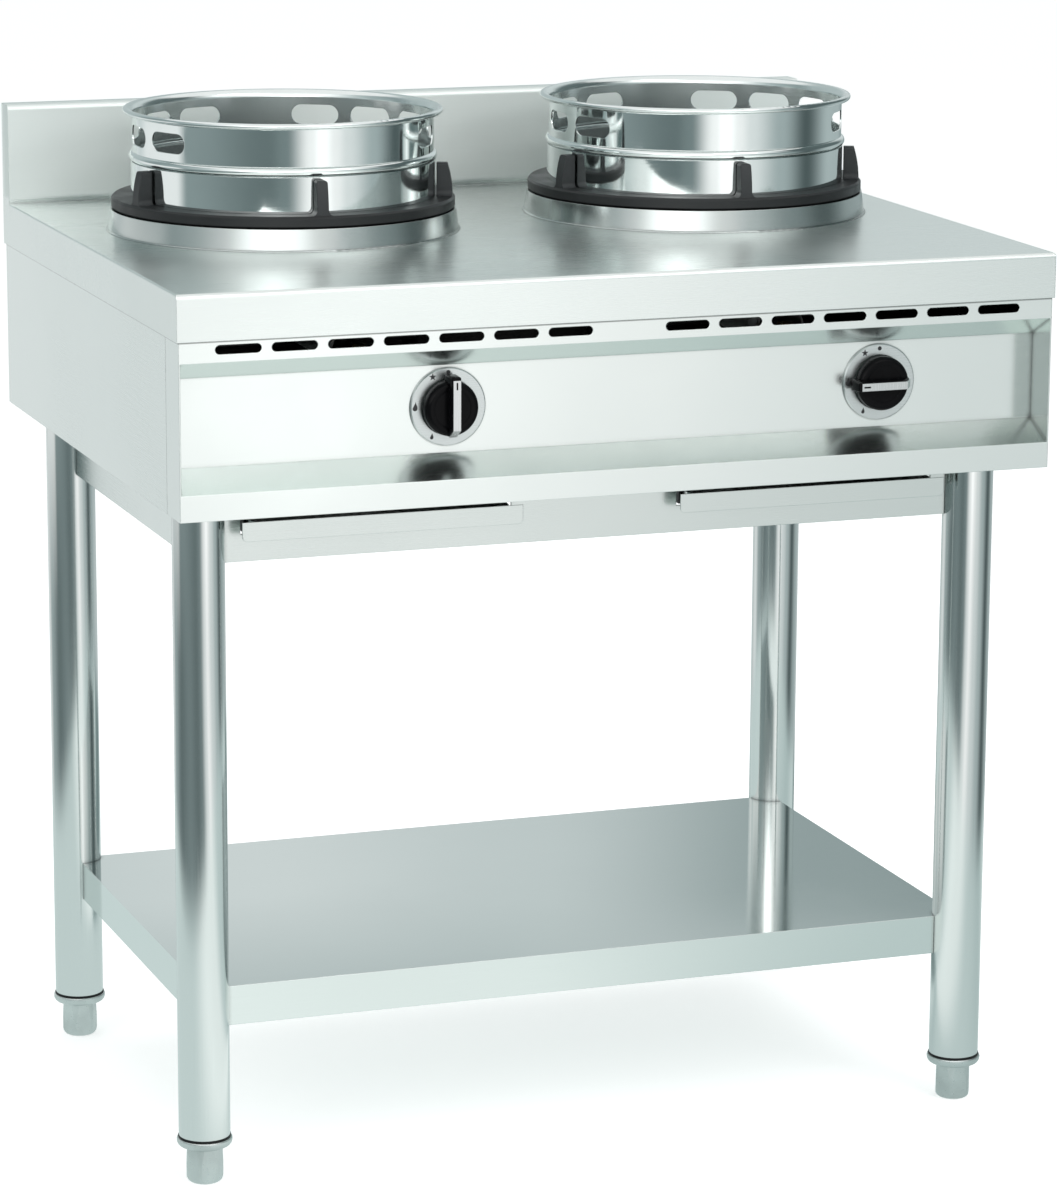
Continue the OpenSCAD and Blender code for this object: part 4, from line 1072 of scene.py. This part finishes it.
@dataclass
class Reflector:
    """The softboxes and dark screens round the range, as one wall and mat that only polished metal shows.

    Each stop is an angle in degrees from the front, turning to the right, and the tone there.
    """

    radius: float = 2.4
    height: float = 3.0
    mat_r: float = 0.01
    near_r: Span = (1.3, 1.6)
    near_tint: Colour = (0.93, 1.0, 0.985)
    clear: float = 2 * MM
    cool_red: float = 0.72
    cool_blue: float = 1.02
    upper_z: Span = (0.9, 1.12)
    box_z: Span = (1.45, 1.9)
    box_tone: float = 1.4
    box_turn: float = 0.15
    box_width: Span = (0.7, 1.3)
    foot_z: Span = (0.05, 0.35)
    near: Tones = (
        (-180.0, 0.74),
        (-120.0, 0.76),
        (-60.0, 0.76),
        (-20.0, 1.04),
        (5.0, 1.00),
        (40.0, 0.70),
        (80.0, 0.62),
        (110.0, 0.76),
        (126.0, 0.30),
        (150.0, 0.26),
        (166.0, 0.66),
        (180.0, 0.74),
    )
    upper: Tones = (
        (-180.0, 0.56),
        (-150.0, 0.55),
        (-125.0, 0.34),
        (-100.0, 0.44),
        (-78.0, 0.60),
        (-58.0, 0.95),
        (-42.0, 2.20),
        (-29.0, 3.20),
        (-16.0, 2.20),
        (2.0, 1.00),
        (25.0, 0.55),
        (45.0, 0.30),
        (75.0, 0.13),
        (118.0, 0.16),
        (138.0, 0.71),
        (150.0, 0.71),
        (162.0, 0.54),
        (180.0, 0.56),
    )
    wall: Tones = (
        (-180.0, 0.70),
        (-165.0, 0.92),
        (-149.0, 0.74),
        (-134.0, 0.92),
        (-102.0, 0.95),
        (-92.0, 0.34),
        (-33.0, 0.20),
        (-20.0, 0.26),
        (-1.0, 1.10),
        (7.0, 1.40),
        (18.0, 1.05),
        (28.0, 0.86),
        (52.0, 0.48),
        (76.0, 0.12),
        (104.0, 0.52),
        (122.0, 0.50),
        (140.0, 0.34),
        (149.0, 0.40),
        (160.0, 0.68),
        (170.0, 0.76),
        (180.0, 0.70),
    )
    mat: Tones = (
        (-180.0, 0.65),
        (-154.0, 0.85),
        (-128.0, 0.40),
        (-95.0, 0.18),
        (-60.0, 0.24),
        (-33.0, 0.18),
        (-20.0, 0.24),
        (-1.0, 0.85),
        (7.0, 1.05),
        (28.0, 0.75),
        (52.0, 0.50),
        (76.0, 0.12),
        (104.0, 0.45),
        (130.0, 0.60),
        (180.0, 0.65),
    )

    def tone(self, level: float) -> tuple[float, float, float, float]:
        """Finds a stop's colour, cooler where it is darker.

        Args:
            level: The stop's brightness.

        Returns:
            The colour.
        """
        light = min(level, 1.0)
        red = self.cool_red + (1 - self.cool_red) * light
        blue = self.cool_blue + (1 - self.cool_blue) * light
        return (level * red, level, level * blue, 1.0)

    def ring(self, graph: Graph, angle: bpy.types.NodeSocket, stops: Tones) -> bpy.types.NodeSocket:
        """Adds the tones round the range.

        Args:
            graph: The tree to add to.
            angle: The angle from the front, in radians.
            stops: The angles and tones.

        Returns:
            The tone's colour.
        """
        ramp = graph.add("ValToRGB", Fac=graph.spread(angle, -math.pi, math.pi, 0.0, 1.0))
        ramp.color_ramp.interpolation = "EASE"
        points = ramp.color_ramp.elements
        points[0].position, points[1].position = 0.0, 1.0
        for degrees, level in stops:
            share = (degrees + 180.0) / 360.0
            point = points[0] if share == 0.0 else points[-1] if share == 1.0 else points.new(share)
            point.color = self.tone(level)
        return ramp.outputs["Color"]

    def material(self) -> bpy.types.Material:
        """Returns the glowing material: mat, lower and upper wall, and the softbox over the front."""
        material = bpy.data.materials.new("studio reflector")
        graph = Graph(material)
        place = graph.place()
        height = place.outputs["Z"]
        angle = graph.maths("ARCTAN2", place.outputs["X"], graph.maths("MULTIPLY", place.outputs["Y"], -1.0))
        away = graph.add("VectorMath", Vector=graph.add("TexCoord").outputs["Object"])
        away.operation = "LENGTH"
        far = graph.spread(away.outputs["Value"], *self.near_r)
        near = graph.add("VectorMath", Vector=self.ring(graph, angle, self.near))
        near.operation = "MULTIPLY"
        graph.put(near.inputs[1], self.near_tint)
        low = graph.blend(far, near.outputs[0], self.ring(graph, angle, self.mat))
        rise = graph.spread(height, *self.upper_z)
        high = graph.blend(rise, self.ring(graph, angle, self.wall), self.ring(graph, angle, self.upper))
        off_box = graph.maths("ABSOLUTE", graph.maths("ADD", angle, self.box_turn))
        side = graph.blend(graph.spread(height, *self.foot_z), low, high)
        ahead = graph.spread(off_box, *self.box_width, 1.0, 0.0)
        over = graph.product(ahead, graph.spread(height, *self.box_z))
        glow = graph.add("Emission", Color=graph.blend(over, side, (self.box_tone,) * 3), Strength=1.0)
        graph.close(glow.outputs[0])
        return material

    def build(self) -> None:
        """Stands the wall round the range, with a mat from its foot inwards."""
        deselect_all()
        bpy.ops.mesh.primitive_cylinder_add(
            vertices=128, radius=self.radius, depth=self.height, end_fill_type="NOTHING"
        )
        wall = bpy.context.object
        wall.name = "reflector"
        wall.data.transform(Matrix.Translation((0, 0, self.height / 2 + self.clear)))
        pick(wall, "EDGE", lambda edge: all(end.z < 2 * self.clear for end in edge_ends(wall, edge)))
        share = self.mat_r / self.radius
        bpy.ops.mesh.extrude_region_move()
        bpy.ops.transform.resize(value=(share, share, 1), center_override=(0, 0, 0))
        bpy.ops.object.mode_set(mode="OBJECT")
        wall.data.materials.append(self.material())
        wall.visible_camera = False
        wall.visible_diffuse = False
        wall.visible_shadow = False
        wall.visible_transmission = False


@dataclass(frozen=True)
class Lamp:
    """A square soft lamp: its place, side, power in watts, and whether metal mirrors it."""

    name: str
    place: Point
    size: float
    power: float
    mirrored: bool = True

    def build(self, target: Point) -> None:
        """Hangs the lamp.

        Args:
            target: The point that it is aimed at.
        """
        data = bpy.data.lights.new(self.name, "AREA")
        data.size = self.size
        data.energy = self.power
        lamp = bpy.data.objects.new(self.name, data)
        bpy.context.scene.collection.objects.link(lamp)
        lamp.location = self.place
        lamp.visible_glossy = self.mirrored
        aim = Vector(target) - Vector(self.place)
        lamp.rotation_mode = "QUATERNION"
        lamp.rotation_quaternion = aim.to_track_quat("-Z", "Y")


@dataclass
class Studio:
    """White floor, soft lights, the reflector wall and the photograph's camera."""

    eye: Point = (-1.5691, -4.4421, 1.5556)
    turn: float = 0.34377
    pitch: float = 0.21900
    roll: float = -0.00501
    focal_px: float = 4625.0
    image_h: float = 1200.0
    sensor: float = 36.0
    view_range: float = 400.0
    floor_size: float = 120.0
    floor_tone: float = 0.86
    floor_glow: float = 0.51
    sky: float = 0.86
    sky_low: Colour = (0.86, 0.90, 0.89)
    sky_high: Colour = (0.62, 0.66, 0.655)
    sky_rise: float = 0.6
    target: Point = (0.0, 0.0, 0.6)
    lamps: tuple[Lamp, ...] = (
        Lamp("key", (1.3, -3.6, 3.4), 2.4, 60.0),
        Lamp("fill", (-3.2, -2.2, 2.4), 2.2, 25.0),
        Lamp("top", (0.2, 0.4, 3.8), 3.0, 40.0, mirrored=False),
    )

    def build(self) -> None:
        """Builds the whole studio."""
        bpy.context.scene.view_settings.view_transform = "Standard"
        self.floor()
        self.world()
        for lamp in self.lamps:
            lamp.build(self.target)
        Reflector().build()
        self.camera()

    def background(self, graph: Graph) -> bpy.types.NodeSocket:
        """Finds the rays that show the white background: straight, mirrored and through glass.

        Args:
            graph: The tree to add to.

        Returns:
            1 for those rays and 0 for the light that falls on the range.
        """
        rays = graph.add("LightPath")
        mirrored = graph.maths("MAXIMUM", rays.outputs["Is Glossy Ray"], rays.outputs["Is Transmission Ray"])
        return graph.maths("MAXIMUM", rays.outputs["Is Camera Ray"], mirrored)

    def floor(self) -> None:
        """Lays the white floor, which keeps the range's soft shadow."""
        deselect_all()
        bpy.ops.mesh.primitive_plane_add(size=self.floor_size)
        floor = bpy.context.object
        floor.name = "floor"
        material = bpy.data.materials.new("studio floor")
        graph = Graph(material)
        seen = self.background(graph)
        matt = graph.add("BsdfDiffuse", Color=(*(self.floor_tone,) * 3, 1))
        glow = graph.add("Emission", Color=(1, 1, 1, 1), Strength=graph.product(seen, self.floor_glow))
        both = graph.add("AddShader")
        graph.put(both.inputs[0], matt.outputs[0])
        graph.put(both.inputs[1], glow.outputs[0])
        graph.close(both.outputs[0])
        floor.data.materials.append(material)

    def world(self) -> None:
        """Sets the soft light from all round, white behind the range."""
        world = bpy.data.worlds.new("studio")
        bpy.context.scene.world = world
        graph = Graph(world)
        height = graph.add("SeparateXYZ", Vector=graph.add("TexCoord").outputs["Generated"]).outputs["Z"]
        dome = graph.blend(graph.spread(height, 0.0, self.sky_rise), self.sky_low, self.sky_high)
        soft = graph.add("Background", Color=dome, Strength=self.sky)
        white = graph.add("Background", Color=(1, 1, 1, 1), Strength=1.0)
        both = graph.add("MixShader", Fac=self.background(graph))
        graph.put(both.inputs[1], soft.outputs[0])
        graph.put(both.inputs[2], white.outputs[0])
        graph.close(both.outputs[0], "OutputWorld")

    def camera(self) -> None:
        """Sets the camera at the photograph's viewing angle."""
        ahead = Vector(
            (
                math.sin(self.turn) * math.cos(self.pitch),
                math.cos(self.turn) * math.cos(self.pitch),
                -math.sin(self.pitch),
            )
        )
        right = Vector((math.cos(self.turn), -math.sin(self.turn), 0))
        down = ahead.cross(right)
        rolled_right = right * math.cos(self.roll) + down * math.sin(self.roll)
        rolled_up = right * math.sin(self.roll) - down * math.cos(self.roll)
        axes = Matrix((rolled_right, rolled_up, -ahead)).transposed()
        data = bpy.data.cameras.new("camera")
        data.sensor_width = self.sensor
        data.lens = self.focal_px / self.image_h * self.sensor
        data.clip_end = self.view_range
        camera = bpy.data.objects.new("camera", data)
        bpy.context.scene.collection.objects.link(camera)
        camera.matrix_world = Matrix.Translation(self.eye) @ axes.to_4x4()
        bpy.context.scene.camera = camera


def main() -> None:
    """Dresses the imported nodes, adds the modelled pieces and builds the studio."""
    logging.basicConfig(level=logging.INFO, format="%(name)s: %(message)s")
    Finishes(frame["nodes"]).dress()
    Knobs().build()
    Dials().build()
    LegSeals().build()
    Studio().build()


if __name__ == "__main__":
    main()
